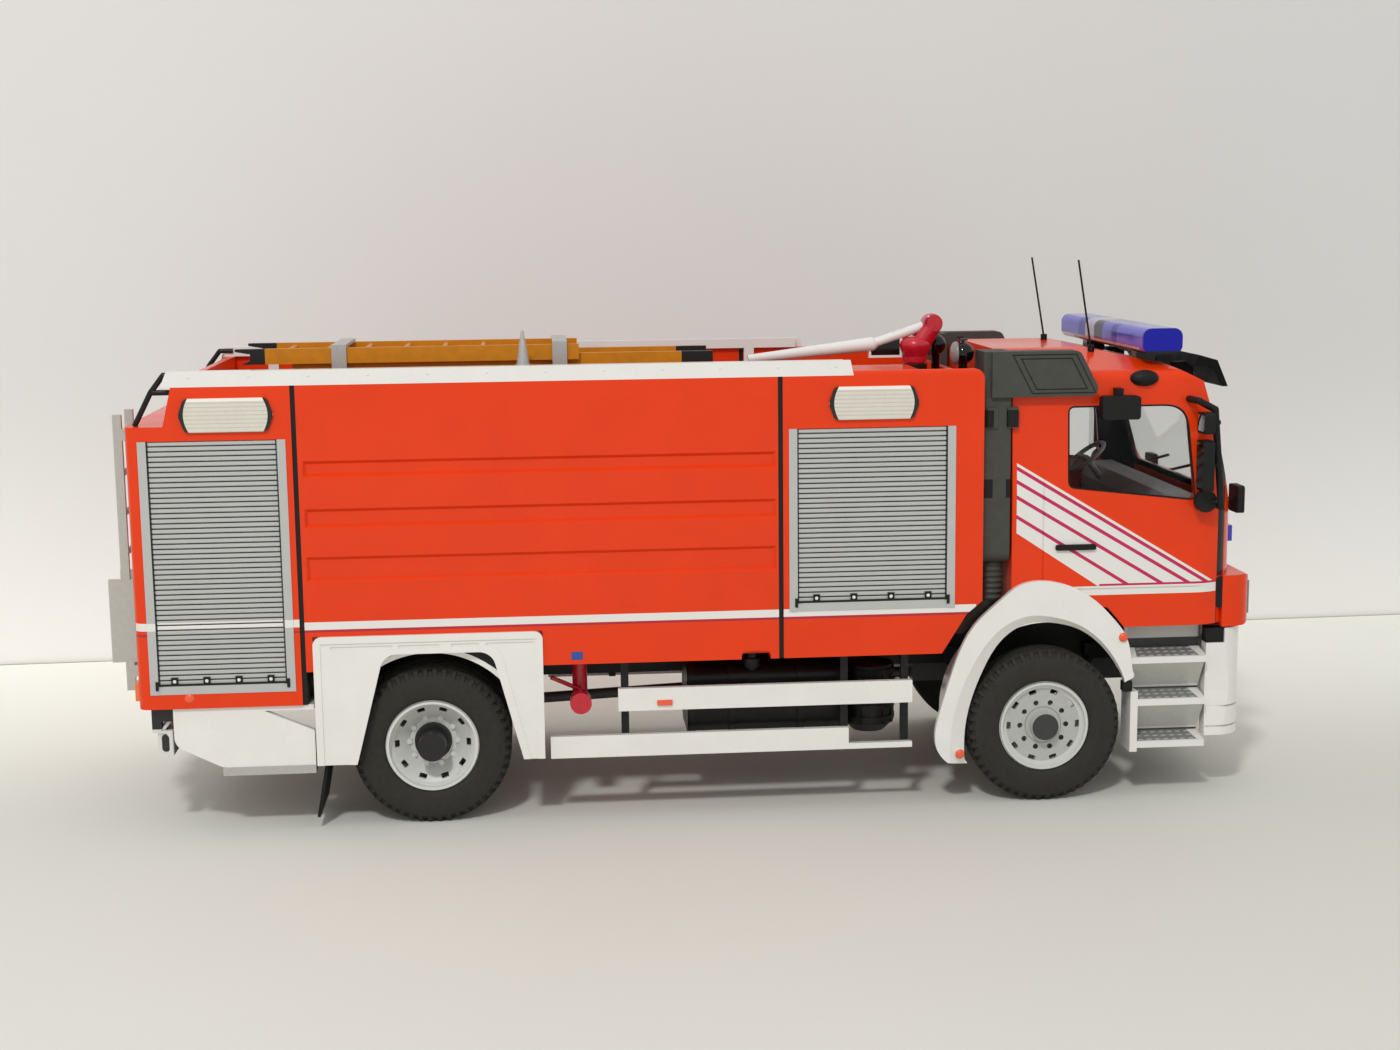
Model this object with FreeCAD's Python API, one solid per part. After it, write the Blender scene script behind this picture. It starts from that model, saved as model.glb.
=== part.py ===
"""Fire engine: a 1:43 display model of a two-axle water tender with a short day cab.

Millimetres. The origin is on the floor under the middle of the model, +X points to the front,
+Y to the left side and +Z up. The right side (-Y) is the one with the fuel tank.
"""
import FreeCAD, Part
import math
import os

from FreeCAD import Vector

# Main sizes of the model
wheelbase = 97.6
front_axle_x = 56.0
rear_axle_x = front_axle_x - wheelbase
front_overhang = 34.6
rear_overhang = 49.0
bumper_front_x = front_axle_x + front_overhang
ladder_rear_x = rear_axle_x - rear_overhang
tyre_radius = 12.4
axle_z = tyre_radius
body_half_width = 29.5
cab_tuck = 2.0
cab_half_width = body_half_width - cab_tuck
body_top_z = 70.2
body_floor_z = 25.3
locker_drop = 5.2
rear_locker_floor_z = body_floor_z - locker_drop

# Where the cab and the body modules begin and end
cab_rear_setback = 5.7
cab_rear_x = front_axle_x - cab_rear_setback
nose_setback = 2.4
cab_front_x = bumper_front_x - nose_setback
cab_length = cab_front_x - cab_rear_x
body_cab_gap = 5.1
body_front_x = cab_rear_x - body_cab_gap
ladder_space = 4.6
body_rear_x = ladder_rear_x + ladder_space
front_locker_length = 31.9
front_seam_x = body_front_x - front_locker_length
rear_locker_length = 25.3
rear_seam_x = body_rear_x + rear_locker_length

# Fits shared by all pieces
overrun = 2.0
seat_gap = 0.05
running_clearance = 0.05
side_play = 0.3

# Body modules
seam_width = 0.75
seam_inset = 0.25
body_edge_round = 0.7
deck_wall = 1.1
deck_depth = 3.7
deck_z = body_top_z - deck_depth
notch_depth = 6.6
notch_z = body_top_z - notch_depth
notch_length = 5.9
notch_front_x = body_rear_x + notch_length
notch_slant = 1.6
notch_top_x = notch_front_x + notch_slant
body_corner_round = 1.6
locker_cut_length = 6.4
locker_cut_x = body_front_x - locker_cut_length
locker_cut_mid_length = 2.5
locker_cut_mid_x = body_front_x - locker_cut_mid_length
locker_cut_mid_height = 6.2
locker_cut_top_height = 8.3
frame_channel_half_width = 10.6
tank_rib_depth = 0.5
tank_rib_bevel = 0.45
tank_rib_margin = 0.7
tank_rib_shares = ((0.673, 0.728), (0.499, 0.564), (0.314, 0.399))
platform_rear_setback = 21.0
platform_front_setback = 8.7
platform_inner_y = 10.5
platform_drop = 0.6
front_coaming_drop = 1.8

# Chassis
rail_half_spacing = 8.6
rail_width = 1.6
rail_outer_y = rail_half_spacing + rail_width / 2
rail_height = 6.2
rail_low_z = body_floor_z - rail_height
rail_rear_inset = 3.0
rail_rear_x = body_rear_x + rail_rear_inset
rail_front_inset = 4.7
rail_front_x = cab_front_x - rail_front_inset
cross_member_length = 1.6
cross_member_height = 3.6
cross_member_count = 7
plinth_hole_radius = 1.0
plinth_boss_radius = 2.4
plinth_hole_depth = 4.0
plinth_boss_front_x = 32.0
plinth_boss_rear_x = -12.0
plinth_boss_y = 4.4
engine_length = 24.0
engine_half_width = 6.2
engine_low_z = 14.8
engine_height = 14.2
engine_front_inset = 11.2
engine_front_x = cab_front_x - engine_front_inset
gearbox_length = 14.0
gearbox_half_width = 4.0
gearbox_height = 8.0
drive_shaft_radius = 0.9

# Axles and springs
axle_beam_radius = 1.7
rear_axle_radius = 2.4
differential_radius = 5.2
differential_half_length = 4.2
differential_taper = 2.5
stub_radius = 1.0
knuckle_radius = 2.6
knuckle_length = 3.4
spring_half_length = 13.0
spring_width = 1.7
spring_thickness = 1.5
spring_mount_radius = 1.0
spring_y = rail_outer_y + spring_width / 2

# Wheels
wheel_tuck = 1.5
wheel_outer_y = body_half_width - wheel_tuck
front_tyre_width = 6.6
rear_tyre_width = 6.0
twin_gap = 0.9
tyre_shoulder = 0.75
tyre_shoulder_width = 0.55
tyre_facets = 40
tread_slot_width = 0.55
tread_slot_depth = 0.45
tyre_bead_radius = 7.3
rim_inset = 0.9
rim_lip = 0.7
rim_wall = 0.55
rim_disc_thickness = 0.8
front_disc_inset = 1.5
rear_disc_inset = 4.2
hub_radius = 2.2
front_hub_proud = 0.2
rear_hub_radius = 2.9
rear_hub_proud = 0.9
hub_wall = 0.7
dish_radius = 4.5
nut_ring_radius = 3.75
nut_radius = 0.42
nut_height = 0.4
nut_count = 10
hand_hole_ring_radius = 5.6
hand_hole_half_length = 0.62
hand_hole_half_height = 0.36
hand_hole_count = 10

# Shutters and scene lamps
shutter_recess = 0.6
shutter_column = 1.3
shutter_frame_proud = 0.15
shutter_slat_back = 0.25
slat_pitch = 0.78
slat_depth = 0.22
bottom_bar_height = 1.4
latch_length = 1.05
latch_height = 1.25
latch_count = 4
shutter_rod_radius = 0.12
rod_end_length = 0.45
rod_end_height = 1.4
shutter_rear_margin = 2.0
rear_shutter_x0 = body_rear_x + shutter_rear_margin
shutter_seam_margin = 1.3
rear_shutter_x1 = rear_seam_x - shutter_seam_margin
rear_shutter_sill = 2.3
rear_shutter_z0 = rear_locker_floor_z + rear_shutter_sill
front_shutter_x0 = front_seam_x + shutter_seam_margin
shutter_front_margin = 4.45
front_shutter_x1 = body_front_x - shutter_front_margin
front_shutter_sill = 7.4
front_shutter_z0 = body_floor_z + front_shutter_sill
shutter_top_drop = 8.8
shutter_top_z = body_top_z - shutter_top_drop
tail_shutter_margin = 10.5
tail_shutter_half_width = body_half_width - tail_shutter_margin
tail_shutter_sill = 4.4
tail_shutter_z0 = rear_locker_floor_z + tail_shutter_sill
scene_lamp_length = 14.1
scene_lamp_bow = 0.9
rear_lamp_margin = 2.9
rear_lamp_x1 = rear_seam_x - rear_lamp_margin
front_lamp_margin = 10.3
front_lamp_x1 = body_front_x - front_lamp_margin
scene_lamp_drop = 2.4
scene_lamp_z1 = body_top_z - scene_lamp_drop
scene_lamp_height = 5.1
scene_lamp_z0 = scene_lamp_z1 - scene_lamp_height
scene_lamp_proud = 0.5
scene_lamp_sink = 0.4

# Roof rail
roof_rail_height = 1.65
rail_top_z = body_top_z + roof_rail_height
roof_rail_thickness = 0.8
roof_rail_rear_inset = 5.8
roof_rail_rear_x = body_rear_x + roof_rail_rear_inset
roof_rail_front_x = body_front_x - platform_rear_setback
roof_rail_end_slant = 1.0
roof_post_length = 1.8
roof_post_depth = 0.9
roof_post_pitch = 18.0

# Roof ladder
ladder_near_y = -18.0
ladder_width = 16.0
ladder_far_y = ladder_near_y + ladder_width
ladder_stile_width = 1.15
lower_stile_z0 = 70.3
lower_stile_height = 2.5
lower_stile_z1 = lower_stile_z0 + lower_stile_height
upper_stile_z0 = 71.9
upper_stile_height = 2.4
upper_stile_z1 = upper_stile_z0 + upper_stile_height
upper_section_inset = 20.0
upper_section_x0 = body_rear_x + upper_section_inset
upper_section_length = 48.8
upper_section_x1 = upper_section_x0 + upper_section_length
lower_section_inset = 24.0
lower_section_x0 = body_rear_x + lower_section_inset
lower_section_length = 61.1
lower_section_x1 = lower_section_x0 + lower_section_length
rung_height_share = 0.7
ladder_rung_radius = 0.45
ladder_rung_pitch = 6.5
ladder_fork_length = 4.6
lower_fork_length = 5.0
fork_prong = 0.8
strap_width = 2.3
strap_thickness = 0.5
strap_shares = (0.234, 0.938)

# Roof cannon
cannon_inset = 6.3
cannon_x = body_front_x - cannon_inset
cannon_y = -5.0
cannon_pedestal_radius = 2.1
cannon_pedestal_flange_radius = 2.9
cannon_pedestal_flange_height = 0.8
cannon_turn_z = 69.6
cannon_elbow_height = 1.8
cannon_pivot_reach = 3.0
cannon_pivot_x = cannon_x + cannon_pivot_reach
cannon_pivot_height = 6.4
cannon_pivot_z = cannon_turn_z + cannon_pivot_height
cannon_elbow_radius = 2.0
cannon_head_radius = 1.35
cannon_head_half_width = 1.7
cannon_pin_radius = 0.5
cannon_kink_reach = 10.4
cannon_kink_x = cannon_pivot_x - cannon_kink_reach
cannon_kink_drop = 3.4
cannon_kink_z = cannon_pivot_z - cannon_kink_drop
cannon_tube_length = 20.5
cannon_tip_x = cannon_kink_x - cannon_tube_length
cannon_tube_drop = 2.1
cannon_tip_z = cannon_kink_z - cannon_tube_drop
cannon_pipe_radius = 0.8
cannon_tube_radius = 1.2
cannon_tip_radius = 0.7
cannon_hub_half_width = 1.0
grip_length = 5.6
grip_front_gap = 2.6
grip_depth = 2.2
grip_border = 0.4
grip_half_thickness = 0.5
handle_height = 1.5
handle_length = 2.4

# Searchlights and standpipe
searchlight_radius = 1.75
searchlight_inset = 1.9
searchlight_x = body_front_x - searchlight_inset
searchlight_height = 5.6
searchlight_z = deck_z + searchlight_height
searchlight_places_y = (-22.2, -0.6)
searchlight_foot_radius = 0.7
searchlight_cap_height = 0.5
standpipe_x = -26.0
standpipe_y = -22.6
standpipe_radius = 1.2
standpipe_height = 5.1
standpipe_cone_z = deck_z + standpipe_height
standpipe_cone_height = 5.2
standpipe_cone_radius = 1.0
standpipe_tip_radius = 0.2
standpipe_arm_radius = 0.95
standpipe_arm_length = 4.6

# Cab shell
cab_low_z = 28.3
cab_floor_rise = 3.3
cab_floor_z = cab_low_z + cab_floor_rise
cab_roof_z = 72.1
cab_low_rake = 1.6
cab_low_front_x = cab_front_x - cab_low_rake
cab_step_inset = 17.4
cab_step_x = cab_front_x - cab_step_inset
cab_belt_z = 47.6
belt_rake = 2.4
cab_nose_z = cab_belt_z - belt_rake
screen_rake = 2.9
screen_foot_x = cab_front_x - screen_rake
roof_flat_inset = 22.7
roof_flat_front_x = cab_front_x - roof_flat_inset
roof_bend_inset = 12.2
roof_bend_x = cab_front_x - roof_bend_inset
roof_bend_drop = 2.2
roof_bend_z = cab_roof_z - roof_bend_drop
roof_brow_inset = 7.2
roof_brow_x = cab_front_x - roof_brow_inset
roof_brow_drop = 4.7
roof_brow_z = cab_roof_z - roof_brow_drop
cab_wall = 1.2
cab_front_corner_radius = 7.5
cab_shoulder_drop = 3.1
cab_shoulder_z = cab_roof_z - cab_shoulder_drop
cab_shoulder_tuck = 1.1
cab_shoulder_y = cab_half_width - cab_shoulder_tuck
shoulder_round = 1.8
roof_round = 3.6
roof_flat_half_width = 12.5
tumble_rise = 2.9
cab_tumble_z = cab_belt_z + tumble_rise
window_sill_height = 2.2
window_low_z = cab_belt_z + window_sill_height
window_top_drop = 8.4
window_top_z = cab_roof_z - window_top_drop
window_sill_slope = 1.2
window_rear_inset = 9.0
window_rear_x = cab_rear_x + window_rear_inset
window_front_inset = 8.4
window_front_x = cab_front_x - window_front_inset
window_top_slant = 1.5
window_corner_radius = 1.0
window_front_corner_radius = 3.0
screen_low_z = 49.4
screen_top_drop = 7.5
screen_top_z = cab_roof_z - screen_top_drop
screen_margin = 4.9
screen_half_width = cab_half_width - screen_margin
rear_window_half_width = 9.0
rear_window_z0 = 53.0
rear_window_height = 9.0
glass_inset = 0.25
glass_thickness = 0.45
door_groove = 0.25
door_groove_depth = 0.2
door_rear_inset = 5.0
door_rear_x = cab_rear_x + door_rear_inset
door_front_inset = 5.6
door_front_x = cab_front_x - door_front_inset
door_low_rise = 6.3
door_top_rise = 1.2
door_top_slant = 3.6

# Cab inside
floor_thickness = 1.1
tunnel_half_width = 8.0
tunnel_height = 4.5
seat_place_y = 14.0
seat_half_width = 5.6
seat_inset = 7.2
seat_rear_x = cab_rear_x + seat_inset
seat_depth = 11.5
seat_pedestal_height = 3.8
seat_cushion_height = 4.0
seat_back_thickness = 3.0
seat_back_height = 21.5
seat_round = 1.0
seat_pedestal_half_width = 3.6
dash_depth = 12.2
dash_rear_x = cab_front_x - dash_depth
dash_top_z = 48.6
dash_height = 8.6
steering_wheel_y = 14.0
steering_wheel_gap = 2.4
steering_wheel_x = dash_rear_x - steering_wheel_gap
steering_wheel_rise = 2.0
steering_wheel_z = dash_top_z + steering_wheel_rise
steering_wheel_radius = 4.0
steering_rim_radius = 0.4
steering_tilt_deg = 38.0
steering_column_radius = 0.6
steering_column_length = 8.0

# Front of the cab
grille_margin = 8.5
grille_half_width = cab_half_width - grille_margin
grille_z0 = 36.6
grille_height = 10.4
grille_z1 = grille_z0 + grille_height
grille_slat_count = 4
grille_slat_height = 1.3
grille_depth = 0.9
bumper_margin = 1.1
bumper_half_width = cab_half_width - bumper_margin
bumper_split_z = 27.4
upper_bumper_height = 8.6
upper_bumper_z1 = bumper_split_z + upper_bumper_height
upper_bumper_depth = 5.5
upper_bumper_rear_x = bumper_front_x - upper_bumper_depth
upper_bumper_round = 1.5
bumper_corner_radius = 4.5
lower_bumper_setback = 1.3
lower_bumper_front_x = bumper_front_x - lower_bumper_setback
lower_bumper_depth = 6.6
lower_bumper_rear_x = lower_bumper_front_x - lower_bumper_depth
lower_bumper_height = 17.7
lower_bumper_z0 = bumper_split_z - lower_bumper_height
lower_bumper_wall = 2.4
bumper_joint_gap = 0.25
bumper_waist_z = 17.0
bumper_waist_depth = 0.45
bumper_groove_rises = (1.3, 4.6)
bumper_groove_height = 0.3
bumper_groove_depth = 0.35
headlamp_margin = 2.9
headlamp_y1 = bumper_half_width - headlamp_margin
headlamp_width = 9.0
headlamp_y0 = headlamp_y1 - headlamp_width
headlamp_sill = 1.8
headlamp_z0 = bumper_split_z + headlamp_sill
headlamp_height = 5.4
headlamp_z1 = headlamp_z0 + headlamp_height
headlamp_depth = 1.2
strobe_y = 17.0
strobe_half_width = 1.6
strobe_rise = 3.7
strobe_z0 = grille_z0 + strobe_rise
strobe_height = 2.6
strobe_depth = 1.9

# Steps and front mudguards
step_proud = 0.5
step_outer_y = cab_half_width + step_proud
step_depth = 5.0
step_back_y = step_outer_y - step_depth
step_front_gap = 0.5
step_front_x = lower_bumper_rear_x - step_front_gap
step_length = 12.3
step_rear_x = step_front_x - step_length
step_side_wall = 1.2
step_pitch = 6.95
step_count = 3
step_top_z = 23.3
step_lip_height = 1.0
step_shell = 0.8
step_low_z = 7.8
tread_inset = 1.0
tread_lip = 0.4
tread_taper = 0.7
tread_slope_share = 0.2
step_wall_rise = 1.4
tread_thickness = 0.35
tread_sink = 0.1
step_back_top_z = 27.9
mudguard_arc_rise = 2.2
mudguard_arc_z = axle_z + mudguard_arc_rise
mudguard_arc_radius = 14.8
mudguard_band = 0.9
mudguard_band_inner_y = 20.4
mudguard_proud = 1.0
mudguard_outer_y = cab_half_width + mudguard_proud
mudguard_flare = 2.8
mudguard_gap = 0.4
mudguard_marker_shares = ((-0.946, -0.405), (0.83, 0.83))
mudguard_low_z = 6.7
mudguard_end_z = 20.2
mudguard_outline_shares = (
    (-0.885, -0.534), (-1.074, -0.507), (-1.216, -0.243), (-1.186, -0.02), (-1.061, 0.412), (-0.79, 1.007),
    (-0.50, 1.28), (-0.33, 1.412), (0.125, 1.439), (0.514, 1.243), (0.736, 1.02), (0.87, 0.83),
    (0.922, 0.62), (0.959, 0.378),
)
mudguard_arch_shares = (
    (-0.878, -0.46), (-0.858, -0.03), (-0.676, 0.514), (-0.466, 0.838), (-0.196, 0.993), (0.081, 0.993),
    (0.351, 0.919), (0.689, 0.635), (0.858, 0.354),
)

# Side fairing behind the cab
column_gap = 0.3
column_rear_x = body_front_x + column_gap
column_length = 4.4
column_front_x = column_rear_x + column_length
column_depth = 6.5
column_inner_y = cab_half_width - column_depth
column_outer_y = cab_half_width
column_low_z = 39.2
column_top_z = 72.6
column_low_round = 1.8
fairing_height = 7.1
fairing_low_z = column_top_z - fairing_height
fairing_rear_gap = 2.1
fairing_rear_low_x = cab_rear_x + fairing_rear_gap
fairing_slant = 3.7
fairing_rear_top_x = fairing_rear_low_x - fairing_slant
fairing_length = 11.9
fairing_front_low_x = fairing_rear_low_x + fairing_length
fairing_front_top_x = fairing_front_low_x - fairing_slant
fairing_proud = 0.7
fairing_outer_y = cab_half_width + fairing_proud
fairing_depth = 3.6
fairing_inner_y = fairing_outer_y - fairing_depth
fairing_groove_depth = 0.3
fairing_groove_shares = (0.87, 0.7)
fairing_groove_share = 0.05
bellows_radius = 1.95
bellows_pitch = 0.9
bellows_count = 7
intake_pipe_radius = 1.3
intake_pipe_run = 4.7
intake_pipe_drop = 4.6
clasp_length = 1.7
clasp_height = 3.2
clasp_drop = 4.8
clasp_proud = 0.35

# Light bar, antennas, visor, mirrors, side lamps
light_bar_inset = 13.3
light_bar_x = cab_front_x - light_bar_inset
light_bar_rise = 1.5
light_bar_z = cab_roof_z + light_bar_rise
light_bar_margin = 3.0
light_bar_half_length = cab_half_width - light_bar_margin
light_bar_depth = 6.4
light_bar_height = 4.1
light_bar_foot_y = 14.5
light_bar_foot_length = 2.6
light_bar_foot_depth = 3.2
antenna_radius = 0.16
antenna_base_radius = 0.55
antenna_base_height = 1.0
antenna_shares = ((0.359, 0.255), (0.414, -0.545))
antenna_lean = 2.3
antenna_height = 14.2
antenna_top_z = cab_roof_z + antenna_height
visor_inset = 8.0
visor_rear_x = cab_front_x - visor_inset
visor_length = 5.8
visor_front_x = visor_rear_x + visor_length
visor_margin = 4.0
visor_half_width = cab_half_width - visor_margin
visor_drop = 0.8
visor_top_z = cab_roof_z - visor_drop
visor_height = 5.1
visor_low_z = visor_top_z - visor_height
visor_thickness = 0.9
visor_arm_margin = 4.7
mirror_gap = 1.1
mirror_inner_y = cab_half_width + mirror_gap
mirror_width = 3.8
mirror_outer_y = mirror_inner_y + mirror_width
mirror_inset = 8.2
mirror_x = cab_front_x - mirror_inset
mirror_thickness = 1.1
mirror_upper_z0 = 59.5
mirror_upper_height = 3.3
mirror_main_z0 = 50.5
mirror_main_height = 7.9
mirror_arm_radius = 0.55
mirror_arm_top_z = 64.6
mirror_arm_low_z = 47.8
mirror_arm_bend = 1.4
mirror_arm_inset = 5.1
mirror_arm_front_x = cab_front_x - mirror_arm_inset
mirror_arm_root_inset = 9.7
mirror_arm_root_x = cab_front_x - mirror_arm_root_inset
mirror_arm_reach = 1.6
mirror_arm_y = mirror_inner_y + mirror_arm_reach
round_mirror_radius = 1.75
round_mirror_z = 48.6
ramp_mirror_inset = 13.6
ramp_mirror_x0 = cab_rear_x + ramp_mirror_inset
ramp_mirror_length = 6.1
ramp_mirror_drop = 6.6
ramp_mirror_z1 = cab_roof_z - ramp_mirror_drop
ramp_mirror_height = 3.7
front_mirror_y = 22.0
front_mirror_width = 4.4
front_mirror_z0 = 45.7
front_mirror_height = 4.4
front_mirror_proud = 0.9
side_lamp_inset = 16.8
side_lamp_x = cab_front_x - side_lamp_inset
side_lamp_drop = 4.1
side_lamp_z = cab_roof_z - side_lamp_drop
side_lamp_half_length = 2.3
side_lamp_half_height = 1.3
side_lamp_proud = 0.7

# Door handles, wipers and filler pieces around the bumper
handle_inset = 7.0
handle_x0 = cab_rear_x + handle_inset
door_handle_length = 6.5
door_handle_height = 0.9
door_handle_drop = 6.6
door_handle_z = cab_belt_z - door_handle_drop
door_handle_proud = 0.45
wiper_radius = 0.25
wiper_length = 13.0
wiper_rise = 2.6
wiper_foot_rise = 1.4
wiper_places_y = (20.0, 6.5, -7.0)
bumper_wedge_length = 3.4
bumper_wedge_height = 5.0
bumper_wedge_depth = 4.0
bumper_insert_length = 3.0
bumper_insert_height = 2.4

# Tanks under the body
guard_tuck = 1.0
guard_y = body_half_width - guard_tuck
fuel_tank_x0 = -1.2
fuel_tank_length = 25.4
fuel_tank_x1 = fuel_tank_x0 + fuel_tank_length
fuel_tank_z0 = 12.2
fuel_tank_height = 10.4
fuel_tank_z1 = fuel_tank_z0 + fuel_tank_height
fuel_tank_tuck = 4.5
fuel_tank_outer_y = guard_y - fuel_tank_tuck
fuel_tank_width = 11.5
fuel_tank_inner_y = fuel_tank_outer_y - fuel_tank_width
fuel_tank_round = 1.8
tank_strap_width = 1.1
tank_strap_thickness = 0.3
tank_strap_shares = (0.03, 0.283, 0.717)
filler_inset = 10.5
filler_x = fuel_tank_x0 + filler_inset
filler_tuck = 1.4
filler_y = fuel_tank_outer_y - filler_tuck
filler_radius = 1.5
filler_neck_radius = 0.9
filler_cap_height = 1.4
filler_pocket_half_length = 2.3
filler_pocket_depth = 4.2
filler_pocket_height = 2.5
silencer_gap = 4.5
silencer_x = fuel_tank_x1 + silencer_gap
silencer_tuck = 9.1
silencer_y = guard_y - silencer_tuck
silencer_radius = 4.3
silencer_z0 = 11.0
silencer_height = 11.0
silencer_z1 = silencer_z0 + silencer_height
silencer_taper = 1.4
silencer_rib_count = 5
silencer_upright_count = 12
silencer_rib = 0.3
silencer_rib_width = 0.7
air_tank_radius = 3.2
air_tank_x0 = 0.5
air_tank_length = 22.5
air_tank_x1 = air_tank_x0 + air_tank_length
air_tank_z = 16.6
air_tank_tuck = 6.9
air_tank_pitch = 7.0
air_tank_outer_y = guard_y - air_tank_tuck

# Hose outlets
outlet_gap = 5.8
outlet_z = 18.2
outlet_tuck = 2.1
outlet_outer_y = guard_y - outlet_tuck
outlet_pipe_radius = 1.2
outlet_cap_radius = 1.7
outlet_cap_length = 2.6
outlet_pipe_depth = 5.9
outlet_pipe_y = outlet_outer_y - outlet_pipe_depth
outlet_lever_length = 4.6
outlet_lever_rise = 3.6
outlet_lever_radius = 0.35

# Side guards
guard_thickness = 1.0
upper_guard_x0 = -12.4
upper_guard_length = 46.7
upper_guard_x1 = upper_guard_x0 + upper_guard_length
upper_guard_z0 = 17.3
upper_guard_height = 3.6
upper_guard_z1 = upper_guard_z0 + upper_guard_height
lower_guard_x0 = -23.1
lower_guard_length = 47.2
lower_guard_x1 = lower_guard_x0 + lower_guard_length
lower_guard_z0 = 10.0
lower_guard_height = 3.5
lower_guard_z1 = lower_guard_z0 + lower_guard_height
lower_guard_lip_height = 0.9
guard_post_inset = 1.1
guard_post_width = 1.2
guard_post_thickness = 0.9
guard_arm_height = 1.2
outlet_x = upper_guard_x0 - outlet_gap

# Rear mudguards and flaps
rear_guard_half_length = 17.6
rear_guard_x0 = rear_axle_x - rear_guard_half_length
rear_guard_x1 = rear_axle_x + rear_guard_half_length
rear_guard_low_drop = 1.9
rear_guard_z0 = axle_z - rear_guard_low_drop
rear_guard_rise = 5.5
rear_guard_z1 = body_floor_z + rear_guard_rise
rear_guard_proud = 0.5
rear_guard_outer_y = body_half_width + rear_guard_proud
rear_guard_thickness = 1.4
rear_guard_border = 1.1
rear_guard_sink = 0.2
rear_arch_rise = 15.4
rear_arch_top_z = axle_z + rear_arch_rise
rear_arch_shift = 1.4
rear_arch_x = rear_axle_x + rear_arch_shift
rear_arch_half_top = 8.3
rear_arch_half_low = 13.4
rear_arch_corner_radius = 2.6
rear_slot_shares = ((0.075, 0.345), (0.37, 0.55), (0.6, 0.72), (0.75, 0.96))
rear_slot_drop = 1.6
rear_slot_height = 0.5
rear_band_radius = 15.2
rear_band = 0.8
rear_band_inner_y = 14.2
flap_low_z = 1.9
flap_top_z = 16.0
flap_thickness = 0.5
flap_inner_gap = 1.2
flap_inner_y = rear_band_inner_y + flap_inner_gap
flap_slant = 1.6

# Rear end below the body
skirt_tuck = 0.5
skirt_outer_y = body_half_width - skirt_tuck
skirt_thickness = 1.1
skirt_lid = 0.8
skirt_rear_inset = 5.1
skirt_rear_x = body_rear_x + skirt_rear_inset
skirt_front_inset = 1.2
skirt_front_x = rear_seam_x + skirt_front_inset
skirt_mid_drop = 6.0
skirt_bend_length = 7.2
skirt_low_drop = 9.6
skirt_low_z = rear_locker_floor_z - skirt_low_drop
skirt_corner_length = 7.6
skirt_corner_height = 5.5
rear_step_x0 = skirt_rear_x + skirt_bend_length
rear_step_thickness = 1.3
rear_step_proud = 0.2
rear_step_outer_y = skirt_outer_y + rear_step_proud
rear_step_depth = 6.7
rear_bumper_inset = 2.5
rear_bumper_x0 = body_rear_x + rear_bumper_inset
rear_bumper_length = 2.3
rear_bumper_x1 = rear_bumper_x0 + rear_bumper_length
rear_bumper_z0 = 12.5
rear_bumper_height = 4.0
rear_bumper_z1 = rear_bumper_z0 + rear_bumper_height
rear_bumper_tuck = 0.9
rear_bumper_half_width = body_half_width - rear_bumper_tuck
rear_bumper_arm_width = 1.4
bumper_cap_border = 0.35
bumper_cap_length = 0.8
rear_strut_radius = 0.35
rear_strut_run = 3.0
rear_bracket_inset = 1.7
rear_bracket_length = 3.2
rear_bracket_half_y = 0.9
rear_bracket_tuck = 2.1
rear_bracket_drop = 2.2

# Rear ladder, grab rails, tail lamps
rear_ladder_tuck = 5.5
rear_ladder_y0 = rear_ladder_tuck - body_half_width
rear_ladder_width = 10.0
rear_ladder_y1 = rear_ladder_y0 + rear_ladder_width
rear_ladder_rise = 1.9
rear_ladder_z0 = rear_locker_floor_z + rear_ladder_rise
rear_ladder_top_gap = 1.4
rear_ladder_z1 = notch_z + rear_ladder_top_gap
rear_ladder_stile = 0.9
rear_ladder_depth = 1.3
rear_ladder_foot_depth = 2.2
rear_ladder_foot_rise = 4.5
rear_ladder_foot_height = 13.0
rear_ladder_rung_pitch = 6.6
rear_ladder_rung_radius = 0.5
grab_tube_radius = 0.42
grab_rail_tuck = 2.1
grab_rail_y = body_half_width - grab_rail_tuck
grab_rail_foot_inset = 1.4
grab_rail_bend_inset = 4.0
grab_rail_height = 5.0
grab_rail_top_z = notch_z + grab_rail_height
roof_grab_run = 2.0
roof_grab_rise = 2.6
tail_lamp_tuck = 1.5
tail_lamp_y1 = body_half_width - tail_lamp_tuck
tail_lamp_width = 5.5
tail_lamp_rise = 1.1
tail_lamp_z0 = rear_locker_floor_z + tail_lamp_rise
tail_lamp_height = 2.8
tail_lamp_depth = 0.6

# Marker lamps
marker_radius = 0.75
marker_proud = 0.2
guard_marker_inset = 7.3
marker_half_length = 1.1
marker_half_height = 0.4


def box(x0, x1, y0, y1, z0, z1):
    """Block between two corners, given low and high along each axis."""
    return Part.makeBox(x1 - x0, y1 - y0, z1 - z0, Vector(x0, y0, z0))


def rod(radius, start, end):
    """Round bar between two points."""
    a = Vector(*start)
    b = Vector(*end)
    return Part.makeCylinder(radius, (b - a).Length, a, b - a)


def cone(radius_start, radius_end, start, end):
    """Tapered bar between two points."""
    a = Vector(*start)
    b = Vector(*end)
    return Part.makeCone(radius_start, radius_end, (b - a).Length, a, b - a)


def disc_y(radius, x, z, y0, y1):
    """Round bar along Y at a place seen from the side."""
    return rod(radius, (x, y0, z), (x, y1, z))


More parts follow.
